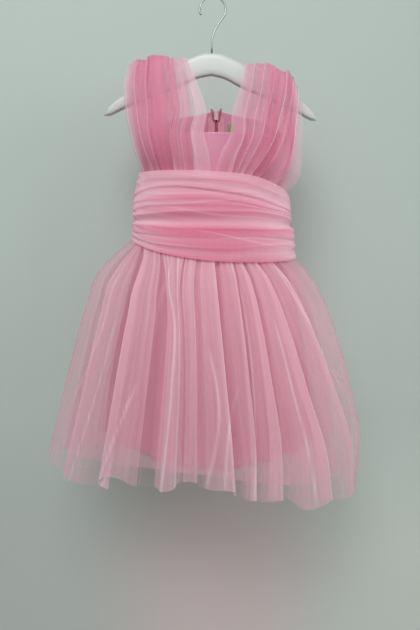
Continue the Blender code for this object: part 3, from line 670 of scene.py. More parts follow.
UNDER_TULLE = (
    # share, left, right, front, back
    (0, 105.2, 106.2, 65, 57.2),
    (0.08, 121, 119, 74.5, 64.5),
    (0.16, 134, 129, 81, 69.5),
    (0.3, 152, 144, 88, 75),
    (0.48, 168, 156, 93.5, 79.5),
    (0.72, 188, 168, 98.5, 83.5),
    (1, 203, 176, 102, 86),
)
UNDER_WAIST = (100.8, 100.8, 59.8, 52.8)
UNDER_HEM = (
    (0, -655), (45, -662), (90, -668), (128, -672), (155, -668), (180, -656),
    (205, -648), (230, -643), (250, -638), (270, -630), (315, -642), (360, -655),
)
UNDER_FOLDS = 12
OUTER_TULLE = (
    (0, 110.8, 112.8, 69.4, 60.8),
    (0.06, 134, 132, 81, 70),
    (0.14, 158, 149, 91, 78.5),
    (0.3, 177, 171, 103, 88),
    (0.52, 195, 191, 113, 97),
    (0.76, 213, 206, 121, 104),
    (1, 231, 199, 126, 108),
)
OUTER_WAIST = (102.5, 102.5, 61.5, 54.5)
OUTER_HEM = (
    # angle, z: the front's hem rises and falls from flap to flap
    (0, -668), (45, -680), (90, -690), (100, -691), (126, -694), (137, -690),
    (145, -697), (149, -683), (155, -682), (165, -684), (171, -676), (176, -669),
    (181, -668), (184.5, -665), (187, -658), (190.5, -661), (196, -672), (200, -665),
    (204, -667), (207.5, -666), (214, -657), (218, -671), (229, -668), (240, -660),
    (249, -652), (270, -643), (315, -654), (360, -668),
)
FRONT_VALLEYS = (
    # angle at waist, angle at hem, turn, out, lap, gap, lean, opens, net beyond it
    (98, 94, 1, 2, 0.2, 0.1, 0.1, 0, 1),
    (133, 107, 1.3, 4, 0.5, 0.4, 0.7, 0, 0.95),
    (146.5, 126.5, 1.5, 8, 0.9, 0.6, 1.5, 0, 1.15),
    (158.5, 154, 1.3, 7, 0.8, 0.5, 1.4, 0, 0.95),
    (166, 164.5, 1, 5, 0.6, 0.4, 1, 0.05, 0.85),
    (177, 169.3, 1.1, 8, 0.9, 0.5, 1.4, 0, 1.1),
    (190.6, 184.6, 0.9, 6, 0.8, 0.5, 0.1, 0, 1.1),
    (200.5, 190.2, 0.8, 5, 0.8, 0.5, 0.2, 0.08, 1.15),
    (218, 199, 0.3, 1.2, 0.8, 0.2, 0.1, 0, 0.1),
    (220.5, 205.4, 0.25, 1.2, 0.8, 0.2, -0.1, 0, 1.2),
    (242, 221.8, 0.2, 7, 0.9, 0.5, -1.5, 0, 0.95),
    (251, 241, 0.3, 4, 0.5, 0.4, -0.6, 0, 1),
    (264, 265, 1, 2, 0.2, 0.1, -0.1, 0, 1.05),
)
OUTER_BACK_FOLDS = 11
LOOSE_EDGES = (
    # thin painted highlights, with a little denser net, where a loose fold's edge crosses the others: pairs
    # of share and angle
    ((0.14, 235.3), (0.41, 234), (0.6, 240), (0.7, 244.5)),
    ((0.35, 226), (0.7, 229), (1, 233.5)),
    ((0.62, 209), (0.68, 210.8), (0.82, 214.5), (1, 218.8)),
    ((0.05, 208), (0.3, 197.5), (0.62, 195.5), (1, 196.5)),
    ((0.45, 181.5), (0.7, 178), (0.86, 179.5), (1, 182.5)),
    ((0.6, 171), (0.78, 174.5), (1, 176)),
    ((0.11, 166), (0.53, 164.5), (1, 165.2)),
    ((0.3, 152), (0.7, 147), (1, 139)),
    ((0.01, 133.8), (0.11, 136.2), (0.23, 134), (0.35, 129), (0.46, 125), (0.58, 116.5)),
    ((0.1, 30), (0.45, 26), (1, 17)),
    ((0.1, 320), (0.5, 328), (1, 334)),
)
LOOSE_EDGE_WIDTH = 0.45
NET_CELLS_PER_METRE = 760.0
DENSEST_NET = 0.98
THROUGH_LIGHT = 0.42

# Fine net: cells between threads about 1.3 mm apart, and streaks where the threads of the gathered cloth
# crowd together lengthwise.
net, cloth, scale, result = cloth_group(
    "fine net", "Cells per metre", NET_CELLS_PER_METRE, ("Threads", "Streaks")
)
cells = add_node(net, "ShaderNodeTexVoronoi", {"Vector": cloth})
cells.feature = "DISTANCE_TO_EDGE"
feed(net, cells, {"Scale": scale})
open_cell = calculate(net, "MULTIPLY", cells.outputs["Distance"], 3.2, clamp=True)
streaks = soft_noise(net, drawn_out(net, cloth, 0.035), 130.0, 4.0)
feed(net, result, {"Threads": calculate(net, "SUBTRACT", 1.0, open_cell), "Streaks": streaks})


def tulle(name, deep, light):
    """Net that shows what lies behind it: its alpha is the attribute cover, made uneven by the streaks
    and the threads, and its colour runs from deep to light with the attribute pale, which holds painted
    highlights on fold edges and crests. Some of the light comes through from behind."""
    made, tree, shader = new_material(name)
    fine = on_cloth(tree, net)
    streaks = calculate(tree, "MULTIPLY_ADD", fine["Streaks"], 0.8, 0.58)
    threads = calculate(tree, "MULTIPLY_ADD", fine["Threads"], 0.24, 0.90)
    uneven = calculate(tree, "MULTIPLY", streaks, threads)
    alpha = calculate(tree, "MULTIPLY", attribute(tree, "cover"), uneven, clamp=True)
    colour = blend(tree, attribute(tree, "pale"), deep, light)
    feed(tree, shader, {"Base Color": colour, "Roughness": 0.85, "Specular IOR Level": 0.2})
    through = add_node(tree, "ShaderNodeBsdfTranslucent", {"Color": colour}).outputs["BSDF"]
    lit = mix_shaders(tree, THROUGH_LIGHT, shader.outputs["BSDF"], through)
    gap = tree.nodes.new("ShaderNodeBsdfTransparent").outputs["BSDF"]
    feed(tree, tree.nodes["Material Output"], {"Surface": mix_shaders(tree, alpha, gap, lit)})
    return made


def crowding(points, single, weight):
    """How much a net hides. One layer hides `single`. A row shorter than the hem is crowded by that much,
    and so is a net that turns away from the front of its fold. The weight is how much net lies there."""
    across = lengths(points)[0]
    shorter = across[-1:, -1:] / across[:, -1:]
    outward = outwards(points - points.mean(axis=1, keepdims=True))
    facing = np.clip(np.abs((unit_normals(points) * outward).sum(axis=2)), 0.85, 1.0)
    return np.clip(1 - (1 - single) ** (shorter * weight / facing), 0.0, DENSEST_NET)


def loose_edges(turned):
    """How much of a loose fold's edge lies at each point of a layer, from its grid of angles: a narrow bell
    across each of the lines, which fades at both of the line's ends."""
    share = np.linspace(0.0, 1.0, len(turned))[:, None]
    there = np.zeros(turned.shape)
    for line in LOOSE_EDGES:
        start, stop = line[0][0], line[-1][0] + 0.05
        inside = np.clip(12 * np.minimum(share - start, stop - share) + 0.1, 0.0, 1.0)
        off = (turned % 360.0 - smooth_table(line, 1, share)) / LOOSE_EDGE_WIDTH
        there = np.maximum(there, inside * np.exp(-(off**2)))
    return there


def outer_folds():
    """The outer layer's valleys all round: those of the back worked out, those of the front from the
    table."""
    front = np.array(FRONT_VALLEYS)
    first, last = front[-1, 0] - 360.0, front[0, 0]
    front[:, :2] = np.radians(front[:, :2])
    place = round_angles(first, last, OUTER_BACK_FOLDS + 2)[1:-1]
    back = even_folds(OUTER_BACK_FOLDS, out=6.0, lap=0.8, gap=0.5, lean=1.2)
    back[:, :2] += (place - round_angles(0.0, 360.0, OUTER_BACK_FOLDS + 1)[:-1])[:, None]
    before, after = back[place >= 0], back[place < 0]
    after[:, :2] += TURN
    return np.concatenate([before, front, after])


skirt_tulle = tulle("pink skirt tulle", (0.94, 0.56, 0.67), (1.0, 0.86, 0.92))
under_folds = even_folds(UNDER_FOLDS, out=3.0, lap=0.3, gap=0.2, lean=0.2)
for layer, shape, single, denser_hem, cut_width, cut_length in (
    # shape: table, sizes at the waist, hem, folds, columns to a fold
    ("under_tulle", (UNDER_TULLE, UNDER_WAIST, UNDER_HEM, under_folds, 24), 0.34, 0.55, 0.49, 0.31),
    ("outer_tulle", (OUTER_TULLE, OUTER_WAIST, OUTER_HEM, outer_folds(), 44), 0.44, 0.0, 0.72, 0.34),
):
    points, angles, net_here, on_edge, toward_edge, broad, turned = gathered_layer(
        *shape, rows=56, gather=0.8
    )
    side = np.abs(np.sin(np.radians(angles)))
    loose = loose_edges(turned) * (layer == "outer_tulle")
    cover = crowding(points, single, net_here * (1 + 0.8 * on_edge)) * (1 - 0.5 * side**10)
    cover *= 1 + denser_hem * np.linspace(0.0, 1.0, len(points))[:, None] ** 8
    cover = np.clip(cover + 0.22 * loose, 0.0, DENSEST_NET)
    # Painted light in the net's colour: paler toward each fold's crisp edge, and painted highlights where the
    # net is seen on edge and along the loose edges.
    pale = np.clip(0.1 + 0.2 * toward_edge + 1.0 * on_edge + 0.7 * loose, 0.0, 1.0)
    for panel, start, stop in SKIRT_PANELS:
        columns = panel_of(angles, start, stop)
        piece = sheet(
            f"{layer}_{panel}", points[:, columns], cover[:, columns], skirt_tulle,
            pale=pale[:, columns], smooth=broad[:, columns],
        )
        fit(piece, f"skirt_{layer}_{panel}")
        width = cut_width * (1.0 if panel == "front" else 0.48)

# Bodice
# A boned satin front panel, straight across its top, and two back panels that rise to the zip. The top
# edge is turned in and stitched close to the edge.

BODICE = (
    # z, left, right, front, back
    (-150, 112, 112, 44, 44),
    (-200, 107, 107, 47, 44.6),
    (-228, 100, 100, 49, 45),
    (-258, 95, 95, 51, 45.6),
    (-290, 95, 95, 54, 47),
    (-318, 98, 98, 57, 50),
)
BODICE_TOP = (
    # angle, z: the back rises to a point at the zip
    (0, -148.5), (6, -152), (14, -156), (30, -163), (62, -186), (90, -200),
    (120, -201.5), (180, -201.5), (240, -201.5), (270, -199), (298, -184), (330, -162),
    (346, -156), (354, -152), (360, -148.5),
)
BODICE_ROWS = 30
BODICE_WALL = 1.2
ZIP_SLOT = 4.0
RADIUS_AT_ZIP = 100.0


def bodice_panel(start, stop, columns):
    """Points of a bodice panel between two angles in degrees: the table's ovals from the top edge to the
    waist seam, with shallow slanting wrinkles."""
    angles = round_angles(start, stop, columns)[None, :]
    down = np.linspace(0.0, 1.0, BODICE_ROWS)[:, None] ** 1.6
    top = smooth_table(BODICE_TOP, 1, np.degrees(angles))
    z = top + down * (WAIST_SEAM_Z + 0.3 - top)
    x, y = oval(angles, *sizes_at(BODICE, z))
    reach = 1 + 0.35 * np.sin(9.0 * angles + 7.0 * down) * np.sin(np.pi * down) / np.hypot(x, y)
    return points_of(x * reach, y * reach, z)


bodice_satin = satin(
    "pink bodice satin", (0.53, 0.18, 0.285), (0.49, 0.165, 0.26), roughness=0.42, sheen=0.2
)
half_slot = math.degrees(ZIP_SLOT / 2 / RADIUS_AT_ZIP)
# The top rows, turned in, take the satin's painted highlight along the rolled edge.
turned_in = np.clip(np.arange(BODICE_ROWS)[:, None] / 2 - 0.5, 0.0, 1.0)
for name, start, stop, columns, width, height in (
    ("bodice_front", 90.3, 269.7, 90, 0.26, 0.12),
    ("bodice_back_right", half_slot, 89.7, 46, 0.13, 0.15),
    ("bodice_back_left", 270.3, 360.0 - half_slot, 46, 0.13, 0.15),
):
    points = bodice_panel(start, stop, columns)
    piece = sheet(f"satin_{name}", points, turned_in, bodice_satin, wall=BODICE_WALL)
    fit(piece, name)

# Shoulder drapes
# One long gathered panel of tulle over each shoulder, laid double, from the front waist over the hanger to
# the back waist. Its folds run lengthwise and fan out from the waist, and its two edges are a single layer.

DRAPE_LEFT = (
    # along, inner x, y, z, outer x, y, z, rise, fold
    (0, -2, -57, -267, -99, -3, -261, 0, 0.5),
    (0.05, -3, -57.6, -254, -99.8, -6, -248, 0, 0.9),
    (0.11, -5, -61, -236, -107, -19, -230, 0, 2.2),
    (0.22, -12, -60, -204, -115, -24, -200, 0, 3.2),
    (0.33, -9, -51, -172, -121.5, -26, -164, 0, 3.4),
    (0.42, -22, -38, -131, -123.5, -24, -128, 3, 3.2),
    (0.47, -32, -21, -101, -119, -14, -108, 9, 3),
    (0.5, -38, 0, -86, -116, 0, -102, 10, 2.6),
    (0.53, -38, 20, -99, -119, 14, -108, 9, 3),
    (0.58, -35, 43, -130, -124, 27, -132, 3, 3),
    (0.7, -31, 52, -174, -119, 28, -176, 0, 3),
    (0.84, -27, 52, -222, -106, 19, -222, 0, 2),
    (0.94, -25, 47.8, -257, -99.4, 2.5, -252, 0, 0.8),
    (1, -24, 47.4, -270, -99, 3, -266, 0, 0.5),
)
DRAPE_RIGHT = (
    (0, 2, -57, -268, 100.8, -3, -293, 0, 0.5),
    (0.05, 4, -57.4, -256, 101.4, -5, -282, 0, 0.8),
    (0.11, 8, -61, -238, 117, -18, -264, 0, 2.2),
    (0.22, 23, -60, -206, 123, -23, -226, 0, 3.2),
    (0.33, 26, -51, -174, 123, -25, -188, 0, 3.4),
    (0.42, 38, -38, -133, 122, -23, -160, 2, 3.2),
    (0.47, 44, -21, -104, 121, -14, -146, 12, 3),
    (0.5, 47, 0, -93.6, 120, 0, -140, 16, 3),
    (0.53, 47, 20, -104, 121, 14, -144, 12, 3),
    (0.58, 44, 43, -133, 124, 27, -160, 3, 3),
    (0.7, 41, 52, -176, 122, 28, -192, 0, 3),
    (0.84, 37, 52, -226, 112, 19, -240, 0, 2),
    (0.94, 35, 47.8, -264, 101.2, 2.5, -282, 0, 0.8),
    (1, 34, 47.4, -276, 100.8, 3, -293, 0, 0.5),
)
VALLEYS_LEFT = (
    # across at the waist, across over the hanger, out, lap, gap, lean, net beyond it
    (0, 0, 0.3, 0.2, 0.1, 0, 0.85),
    (0.162, 0.07, 1.2, 0.8, 0.4, -1.3, 0.7),
    (0.26, 0.15, 1, 0.7, 0.3, 0.3, 1),
    (0.368, 0.23, 1.1, 0.8, 0.5, -1.1, 1.1),
    (0.523, 0.435, 1, 0.7, 0.5, 1, 0.9),
    (0.591, 0.6, 1, 0.8, 0.5, 1.1, 1),
    (0.78, 0.82, 0.6, 0.4, 0.3, 0.8, 0.8),
    (1, 1, 0.3, 0.2, 0.1, 0, 0.8),
)
VALLEYS_RIGHT = (
    (0, 0, 0.3, 0.2, 0.1, 0, 0.85),
    (0.15, 0.14, 1.1, 0.8, 0.4, -1.3, 0.9),
    (0.19, 0.25, 0.9, 0.7, 0.4, -1, 0.85),
    (0.24, 0.4, 1.1, 0.8, 0.5, -1.2, 1),
    (0.31, 0.616, 1.2, 0.8, 0.4, -1.3, 1.1),
    (0.39, 0.72, 1, 0.7, 0.4, -1, 1.1),
    (0.637, 0.83, 0.9, 0.7, 0.4, -1, 0.75),
    (1, 1, 0.3, 0.2, 0.1, 0, 0.75),
)
DRAPE_ROWS = 110
COLUMNS_PER_FOLD = 30
CROWN_AT = 0.49
CROWN_LENGTH = 0.035


def drape_points(table, valleys, side, seed):
    """A drape's points, how much net lies at each, how much it is on edge, how near it is to its
    fold's crisp edge, the normals of its broad form, and its place across. A cross-section is a quarter
    ellipse between the inner and the outer edge. The folds run lengthwise, spread over the hanger and
    closer at the waist, lap over their valleys, and are rumpled where they turn over the hanger."""
    along = np.linspace(0.0, 1.0, DRAPE_ROWS)[:, None]
    inner_x, inner_y, inner_z, outer_x, outer_y, outer_z, rise, fold = (
        smooth_table(table, column, along) for column in range(1, 9)
    )

    def cross_section(place):
        """Points at a place across, from 0 at the inner edge to 1 at the outer one."""
        quarter = place * np.pi / 2
        x = inner_x + (outer_x - inner_x) * np.sin(quarter)
        y = outer_y + (inner_y - outer_y) * np.cos(quarter)
        return points_of(x, y, inner_z + (outer_z - inner_z) * place + rise * np.sin(np.pi * place))

    rows = np.array(valleys)
    knots = np.arange(len(rows))
    place = np.arange((len(rows) - 1) * COLUMNS_PER_FOLD + 1)[None, :] / COLUMNS_PER_FOLD
    waist, over, out, lap, gap, lean = (np.interp(place, knots, rows[:, column]) for column in range(6))
    cell = np.minimum(place.astype(int), len(rows) - 2)
    lifted = np.minimum(1.0, 1.04 * (1 - np.abs(1 - 2 * along)) ** 1.4)
    across = waist + (over - waist) * lifted
    at_waist, at_top = (np.interp(place, knots, np.gradient(rows[:, column])) for column in (0, 1))
    width = at_waist + (at_top - at_waist) * lifted
    slide, height, on_edge = fold_shape(place, lap, gap, lean)
    opened = np.clip(fold / 2.6, 0.25, 1.0) * np.sin(np.pi * across) ** 0.3
    sway = 0.010 * np.sin(7.0 * along + 9.0 * across + seed) * np.sin(np.pi * across)
    broad = unit_normals(cross_section(across)) * side
    points = cross_section(np.clip(across + slide * width * opened + sway, 0.0, 1.0))
    fine = 0.1 * np.cos(9.0 * place + 4.0 * np.sin(3.0 * along + seed))
    edge = np.minimum(1.0, 8 * across + 0.35)
    crown = np.exp(-(((along - CROWN_AT) / CROWN_LENGTH) ** 2))
    rumple = crown * np.sin(np.pi * across) * (2.5 * np.sin(17.0 * across + 60.0 * along + seed) + 1.0)
    reach = (0.55 * fold * out * (height + fine) * (1 - 0.6 * crown) + rumple) * edge
    net, toward_edge = net_on_fold(place, out, lean, rows[cell, 6])
    return points - broad * reach[:, :, None], net, on_edge * opened, toward_edge, broad, across


drape_tulle = tulle("pink shoulder tulle", (0.79, 0.275, 0.415), (1.0, 0.76, 0.85))
for name, table, valleys, side, seed, light, light_inside in (
    ("drape_left", DRAPE_LEFT, VALLEYS_LEFT, 1, 0.4, 0.03, 0.65),
    ("drape_right", DRAPE_RIGHT, VALLEYS_RIGHT, -1, 2.1, 0.15, 0.25),
):
    points, net_here, on_edge, toward_edge, broad, across = drape_points(table, valleys, side, seed)
    middle = np.clip(np.minimum(across / 0.3, (1 - across) / 0.35), 0.0, 1.0)
    outermost = np.clip((across - 0.62) / 0.3, 0.0, 1.0)
    innermost = np.clip(1 - across / 0.3, 0.0, 1.0)
    thin = np.clip(1.05 - net_here, 0.0, 1.0)
    along = np.linspace(0.0, 1.0, DRAPE_ROWS)[:, None]
    bands = 0.10 * np.sin(24.0 * across + seed) * (1 + 0.5 * np.sin(9.0 * along))
    cover = np.clip((0.54 + 0.34 * middle) * (0.55 + 0.45 * net_here + 0.2 * on_edge), 0.0, 0.97)
    cover = cover - 0.16 * outermost**2
    # Painted light in the net's colour: painted highlights toward and along each fold's crisp edge, and the
    # right drape painted paler all over, painted light where the right side is lit more. The net is also
    # paler where it is thin, at the outer edge and at the inner edge, with soft paler and deeper bands across
    # it.
    pale = light + 0.3 * toward_edge + 0.5 * on_edge + 0.3 * thin + light_inside * innermost
    pale = np.clip(pale + 0.85 * outermost + bands, 0.0, 1.0)
    piece = sheet(f"tulle_{name}", points, cover, drape_tulle, pale=pale, smooth=broad)
    fit(piece, name)

# Sash
# A wide strip of tulle in several layers, wound round the waist in loose lengthwise rolls that narrow
# towards the sides, and sewn into the centre-back seam.

SASH = (
    # share, left, right, front, back
    (0, 104.2, 106.8, 62.9, 58),
    (0.14, 107.8, 109.3, 65.8, 60),
    (0.45, 112, 112.5, 69.5, 61),
    (0.75, 113.5, 115, 71.8, 63.2),
    (1, 113.8, 116.2, 72.6, 64),
)
SASH_LINES = (
    # thin painted highlights along lines of crossing net: share of the sash's height at 270, 180 and 90
    (0.1, 0.23, 0.17), (0.05, 0.15, 0.25), (0.3, 0.26, 0.14), (0.5, 0.33, 0.2),
    (0.42, 0.47, 0.5), (0.6, 0.7, 0.88), (0.9, 0.76, 0.68), (0.98, 0.84, 0.74),
)
SASH_CREASES = (
    # share of the sash's height at 270, 225, 180, 135, 90 and 0, out of the roll above it, skew, and light:
    # how strong the painted highlight on its crest is
    (0, 0, 0, 0, 0, 0, 0, 1, 0),
    (0.15, 0.1, 0.09, 0.11, 0.1, 0.09, 0.7, 1, 0.75),
    (0.335, 0.208, 0.206, 0.275, 0.252, 0.22, 1, 1, 0.7),
    (0.46, 0.36, 0.31, 0.345, 0.31, 0.32, 2.2, 0.55, 0.55),
    (0.56, 0.44, 0.375, 0.375, 0.335, 0.38, 1, 0.7, 0.3),
    (0.637, 0.526, 0.437, 0.405, 0.365, 0.43, 1, 0.8, 0.25),
    (0.779, 0.692, 0.65, 0.602, 0.525, 0.61, 5, 1.45, 0.66),
    (0.86, 0.8, 0.72, 0.697, 0.7, 0.72, 0.7, 0.6, 0),
    (0.92, 0.9, 0.87, 0.8, 0.8, 0.86, 0.9, 0.6, 0.25),
    (1, 1, 1, 1, 1, 1, 1.4, 0.8, 0.4),
)
SASH_ROWS = 140
BIG_ROLL = 6
CREASE_WIDTH = 0.010
LINE_WIDTH = 0.009
SASH_INWARD = 1.0


def bell(offset, width):
    """A bell curve: 1 at no offset, and small beyond its width."""
    return np.exp(-((offset / width) ** 2))


def sash_points(start, stop, columns):
    """The sash's points between two angles in degrees, how light each is painted, and how loose the net is.
    Its creases wander round the waist. The net between two of them is a roll: half a sine, skewed so
    that its crest lies near the crease above it or below it. The lightness is painted light: a painted
    highlight over each roll's crest, a thin one along the crease above it, and thin ones along the lines
    of crossing net."""
    shares = np.linspace(0.0, 1.0, SASH_ROWS)[:, None]
    angles = round_angles(start, stop, columns)[None, :]
    degrees = np.degrees(angles)
    top, bottom = (smooth_table(SASH_EDGES, column, degrees) for column in (1, 2))
    z = top + shares * (bottom - top)
    x, y = oval(angles, *sizes_at(SASH, shares))
    creases = []
    for count, row in enumerate(SASH_CREASES):
        left, left_front, front, right_front, right, back = row[:6]
        around = (
            (0.0, back), (90.0, right), (135.0, right_front), (180.0, front), (225.0, left_front),
            (270.0, left), (360.0, back),
        )
        wander = 0.006 * np.sin(0.09 * degrees + 2.3 * count) * (0.0 < front < 1.0)
        creases.append(smooth_table(around, 1, degrees) + wander)
    relief = np.zeros(z.shape)
    crest = np.zeros(z.shape)
    for count, (out, skew, light) in enumerate([row[6:] for row in SASH_CREASES[1:]], start=1):
        above, below = creases[count - 1], creases[count]
        roll = np.sin(np.pi * np.clip((shares - above) / (below - above), 0.0, 1.0) ** skew)
        relief += out * (1 + 0.3 * np.sin(0.045 * degrees + 1.9 * count)) * roll
        crest += light * roll + 0.6 * light * bell(shares - above, CREASE_WIDTH)
    for count, (left, front, right) in enumerate(SASH_LINES):
        middle = (left + right) / 2
        line = np.interp(degrees, (0.0, 90.0, 180.0, 270.0, 360.0), (middle, right, front, left, middle))
        line = line + 0.012 * np.sin(0.07 * degrees + 2.1 * count)
        crest += (0.30 + 0.20 * np.sin(0.05 * degrees + 1.3 * count)) * bell(shares - line, LINE_WIDTH)
    bunched = np.abs(np.sin(angles)) ** 8
    waves = np.sin(40.0 * shares + 5.0 * np.sin(9.0 * shares) + 2.0 * np.sin(0.1 * degrees))
    below_roll = np.clip((shares - creases[BIG_ROLL]) / 0.06, 0.0, 1.0)
    upright = np.sin(1.15 * degrees + 1.3 * np.sin(0.11 * degrees))
    level = np.sin(95.0 * shares + 3.0 * np.sin(0.03 * degrees) + 1.0)
    relief += 0.35 * bunched * waves + 0.05 * level + 0.10 * below_roll * upright
    relief *= np.minimum(1.0, 14 * shares + 0.1)
    points = points_of(x, y, z)
    loose = np.clip(1 - (shares - creases[1]) / (creases[2] - creases[1] + 0.02), 0.0, 1.0)
    return points + unit_normals(points) * (relief - SASH_INWARD)[:, :, None], crest, loose


sash_tulle = tulle("layered sash tulle", (0.88, 0.27, 0.42), (0.99, 0.66, 0.77))
for name, start, stop, columns, width, height in (
    ("sash_front", 90.2, 269.8, 240, 0.30, 0.12),
    ("sash_back_right", 0.4, 89.8, 120, 0.15, 0.10),
    ("sash_back_left", 270.2, 359.6, 120, 0.15, 0.10),
):
    points, crest, loose = sash_points(start, stop, columns)
    shares = np.linspace(0.0, 1.0, SASH_ROWS)[:, None]
    cover = 0.98 - 0.28 * loose - 0.20 * bell(1 - shares, 0.04)
    # How far out to the side each point lies: the sides, which turn away from the light, are painted lighter
    # to cancel their shade, painted light.
    side = np.abs(points[:, :, 0]) / np.abs(points[:, :, 0]).max()
    # The rolls' painted highlights, and paler loose net at the top.
    pale = np.clip(crest + 0.25 * loose + 0.9 * side**2.5, 0.0, 1.0)
    outward = unit(unit_normals(points) * np.array([-0.4, -1.0, -1.0]))
    piece = sheet(f"tulle_{name}", points, cover, sash_tulle, pale=pale, grain_across=True, smooth=outward)
    fit(piece, name)

# Stitching
# Small lockstitches in matching thread: close to the bodice's turned-in top edge, down both sides of the
# zip, and round the lining's hem.

STITCH_LENGTH = 2.4
STITCH_PITCH = 3.1
STITCH_THREAD = 0.34
STITCH_SIDES = 6
TOP_STITCH_ROW = 3
HEM_STITCH_ROW = -3
LIFT_ON_BODICE = 0.7
LIFT_ON_LINING = 0.5


def stitches(name, line, out, lift):
    """A row of stitches along a line of points in mm, moved outwards by lift along the unit vectors of
    out: each is an ellipsoid laid along the line."""
    line = line + lift * out
    run = np.concatenate([[0.0], np.linalg.norm(np.diff(line, axis=0), axis=1).cumsum()])
    at = np.arange(STITCH_PITCH / 2, run[-1], STITCH_PITCH)

    def read(values, places):
        """The vectors at these places along the line, shaped to meet a stitch's own grid."""
        axes = [np.interp(places, run, values[:, axis]) for axis in range(3)]
        return np.stack(axes, axis=1)[:, None, None]

    outward = read(out, at)
    forward = unit(read(line, at + 0.5) - read(line, at - 0.5))
    turn = np.linspace(0.0, TURN, STITCH_SIDES, endpoint=False)[None, :, None]
    from_end = np.linspace(0.0, np.pi, STITCH_SIDES)[:, None, None]
    ring = np.cross(forward, outward) * np.cos(turn) - outward * np.sin(turn)
    skins = STITCH_LENGTH / 2 * forward * np.cos(from_end) + STITCH_THREAD / 2 * np.sin(from_end) * ring
    made = add_skins(name, read(line, at) + skins, thread)
    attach(made, "dress")


thread = dyed(
    "pink sewing thread", 2600.0, 2.0, (0.66, 0.26, 0.38), (0.82, 0.42, 0.54), roughness=0.6
)[0]
for panel, start, stop, columns in (
    ("front", 91.0, 269.0, 90), ("back_right", 3.0, 89.0, 46), ("back_left", 271.0, 357.0, 46)
):
    row = bodice_panel(start, stop, columns)[TOP_STITCH_ROW]
    stitches(f"top_stitching_{panel}", row, outwards(row), LIFT_ON_BODICE)
for side, angle in (("right", 4.0), ("left", 356.0)):
    column = bodice_panel(angle, angle + 0.5, 2)[:, 0]
    out = np.broadcast_to([0.0, 1.0, 0.0], column.shape)
    stitches(f"zip_stitching_{side}", column, out, LIFT_ON_BODICE)
hem_line = lining_points[HEM_STITCH_ROW]
stitches("hem_stitching", hem_line, outwards(hem_line), LIFT_ON_LINING)

# Zip and label
# A nylon coil zip in the centre back. Its two woven tapes are sewn inside the back panels, their top ends
# splay out beside the painted slider, and a blank woven label is sewn in next to it.

ZIP_FOOT_Z = -316.0
TAPE_TOP_Z = -147.0
TAPE_SPLAY_Z = -160.0
TAPE_WIDTH = 11.0
TAPE_END_WIDTH = 3.0
TAPE_INWARD = 1.55
TAPE_WALL = 0.5
TAPE_FROM_MIDDLE = 1.5
COIL_PITCH = 1.3
COIL_WIRE = 0.55
COIL_RADII = (1.3, 0.75)
COIL_INWARD = 2.1
COIL_STEPS = 12
COIL_PARTS = (
    # z, how far each side's coil lies from the middle: they part under the slider and splay above it
    (-316, 0.8), (-168, 0.8), (-164, 4), (-158, 4.9), (-150, 6.2), (-146, 7),
)
LABEL_X = (21.5, 34.0)
LABEL_Z = (-187.0, -169.0)
LABEL_INWARD = 1.5
LABEL_WALL = 0.6


def inside_back(x, z, inward):
    """The back wall's y at a place, moved inwards: the back half of the bodice's oval."""
    back, side = (smooth_table(BODICE, column, z) for column in (4, 2))
    return back * np.sqrt(1 - ((x - BACK_SEAM_X) / side) ** 2) - inward


def woven(name, dark, light, scale, roughness):
    """A woven trim: fine slanting ribs over soft unevenness."""
    made, tree, shader = new_material(name)
    inputs = {"Vector": cloth_uv(tree), "Scale": scale, "Distortion": 2.0}
    ribs = add_node(tree, "ShaderNodeTexWave", inputs)
    ribs.bands_direction = "DIAGONAL"
    height = ribs.outputs["Fac"]
    colour = blend(tree, height, dark, light)
    normal = bumps(tree, height, 0.4, 0.0003)
    feed(tree, shader, {"Base Color": colour, "Normal": normal, "Roughness": roughness})
    return made


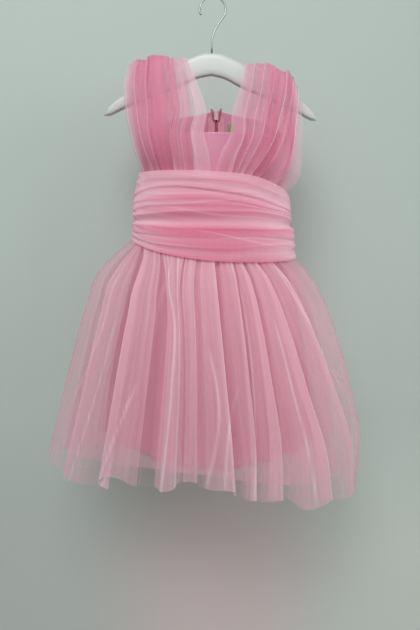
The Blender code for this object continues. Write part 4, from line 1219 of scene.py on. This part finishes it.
rose_tape = woven("rose zip tape", (0.56, 0.22, 0.29), (0.68, 0.30, 0.38), 300.0, roughness=0.8)
for side, name in ((-1, "zip_tape_left"), (1, "zip_tape_right")):
    z = np.linspace(TAPE_TOP_Z, ZIP_FOOT_Z, 90)[:, None]
    across = np.linspace(0.0, 1.0, 9)[None, :]
    above = np.clip((z - TAPE_SPLAY_Z) / (TAPE_TOP_Z - TAPE_SPLAY_Z), 0.0, 1.0)
    width = TAPE_WIDTH - (TAPE_WIDTH - TAPE_END_WIDTH) * np.clip(2.5 * above, 0.0, 1.0)
    x = BACK_SEAM_X + side * (TAPE_FROM_MIDDLE + 1.5 * above + 2.4 * above**2 + width * across)
    y = inside_back(x, z, TAPE_INWARD) - 1.2 * above + 0.8 * above * across
    piece = sheet(name + "_woven", points_of(x, y, z), 1.0, rose_tape, wall=TAPE_WALL)
    fit(piece, name)

nylon = dyed(
    "rose nylon coil", 900.0, 2.0, (0.56, 0.07, 0.15), (0.70, 0.14, 0.24), roughness=0.35
)[0]
turns = (COIL_PARTS[-1][0] - ZIP_FOOT_Z) / COIL_PITCH
around = np.linspace(0.0, TURN * turns, int(turns) * COIL_STEPS)
coils = []
for side in (-1, 1):
    z = ZIP_FOOT_Z + COIL_PITCH * (around / TURN + 0.25 * side)
    apart = np.interp(z, *np.array(COIL_PARTS).T)
    x = BACK_SEAM_X + side * (apart + COIL_RADII[0] * np.cos(around))
    y = smooth_table(BODICE, 4, z) - COIL_INWARD - COIL_RADII[1] * np.sin(around)
    coils.append(tube(points_of(x, y, z), (0.0, 0.0, 1.0), COIL_WIRE / 2, sides=6))
fit(add_skins("zip_coil", coils, nylon), "zip_chain")

olive = woven("olive woven label", (0.19, 0.19, 0.10), (0.32, 0.31, 0.19), 420.0, roughness=0.7)
z = np.linspace(LABEL_Z[1], LABEL_Z[0], 24)[:, None]
x = np.linspace(*LABEL_X, 18)[None, :]
curl = 0.5 * np.sin(np.pi * (z - LABEL_Z[0]) / (LABEL_Z[1] - LABEL_Z[0]))
points = points_of(x, inside_back(x, z, LABEL_INWARD) - curl, z)
piece = sheet("blank_label", points, 1.0, olive, wall=LABEL_WALL)
fit(piece, "neck_label")

painted = dyed(
    "painted zip metal", 600.0, 3.0, (0.30, 0.19, 0.22), (0.42, 0.28, 0.31), roughness=0.38, metallic=0.5
)[0]
for node in ("zip_slider", "zip_pull_tab"):
    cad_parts[node].data.materials.clear()
    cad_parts[node].data.materials.append(painted)
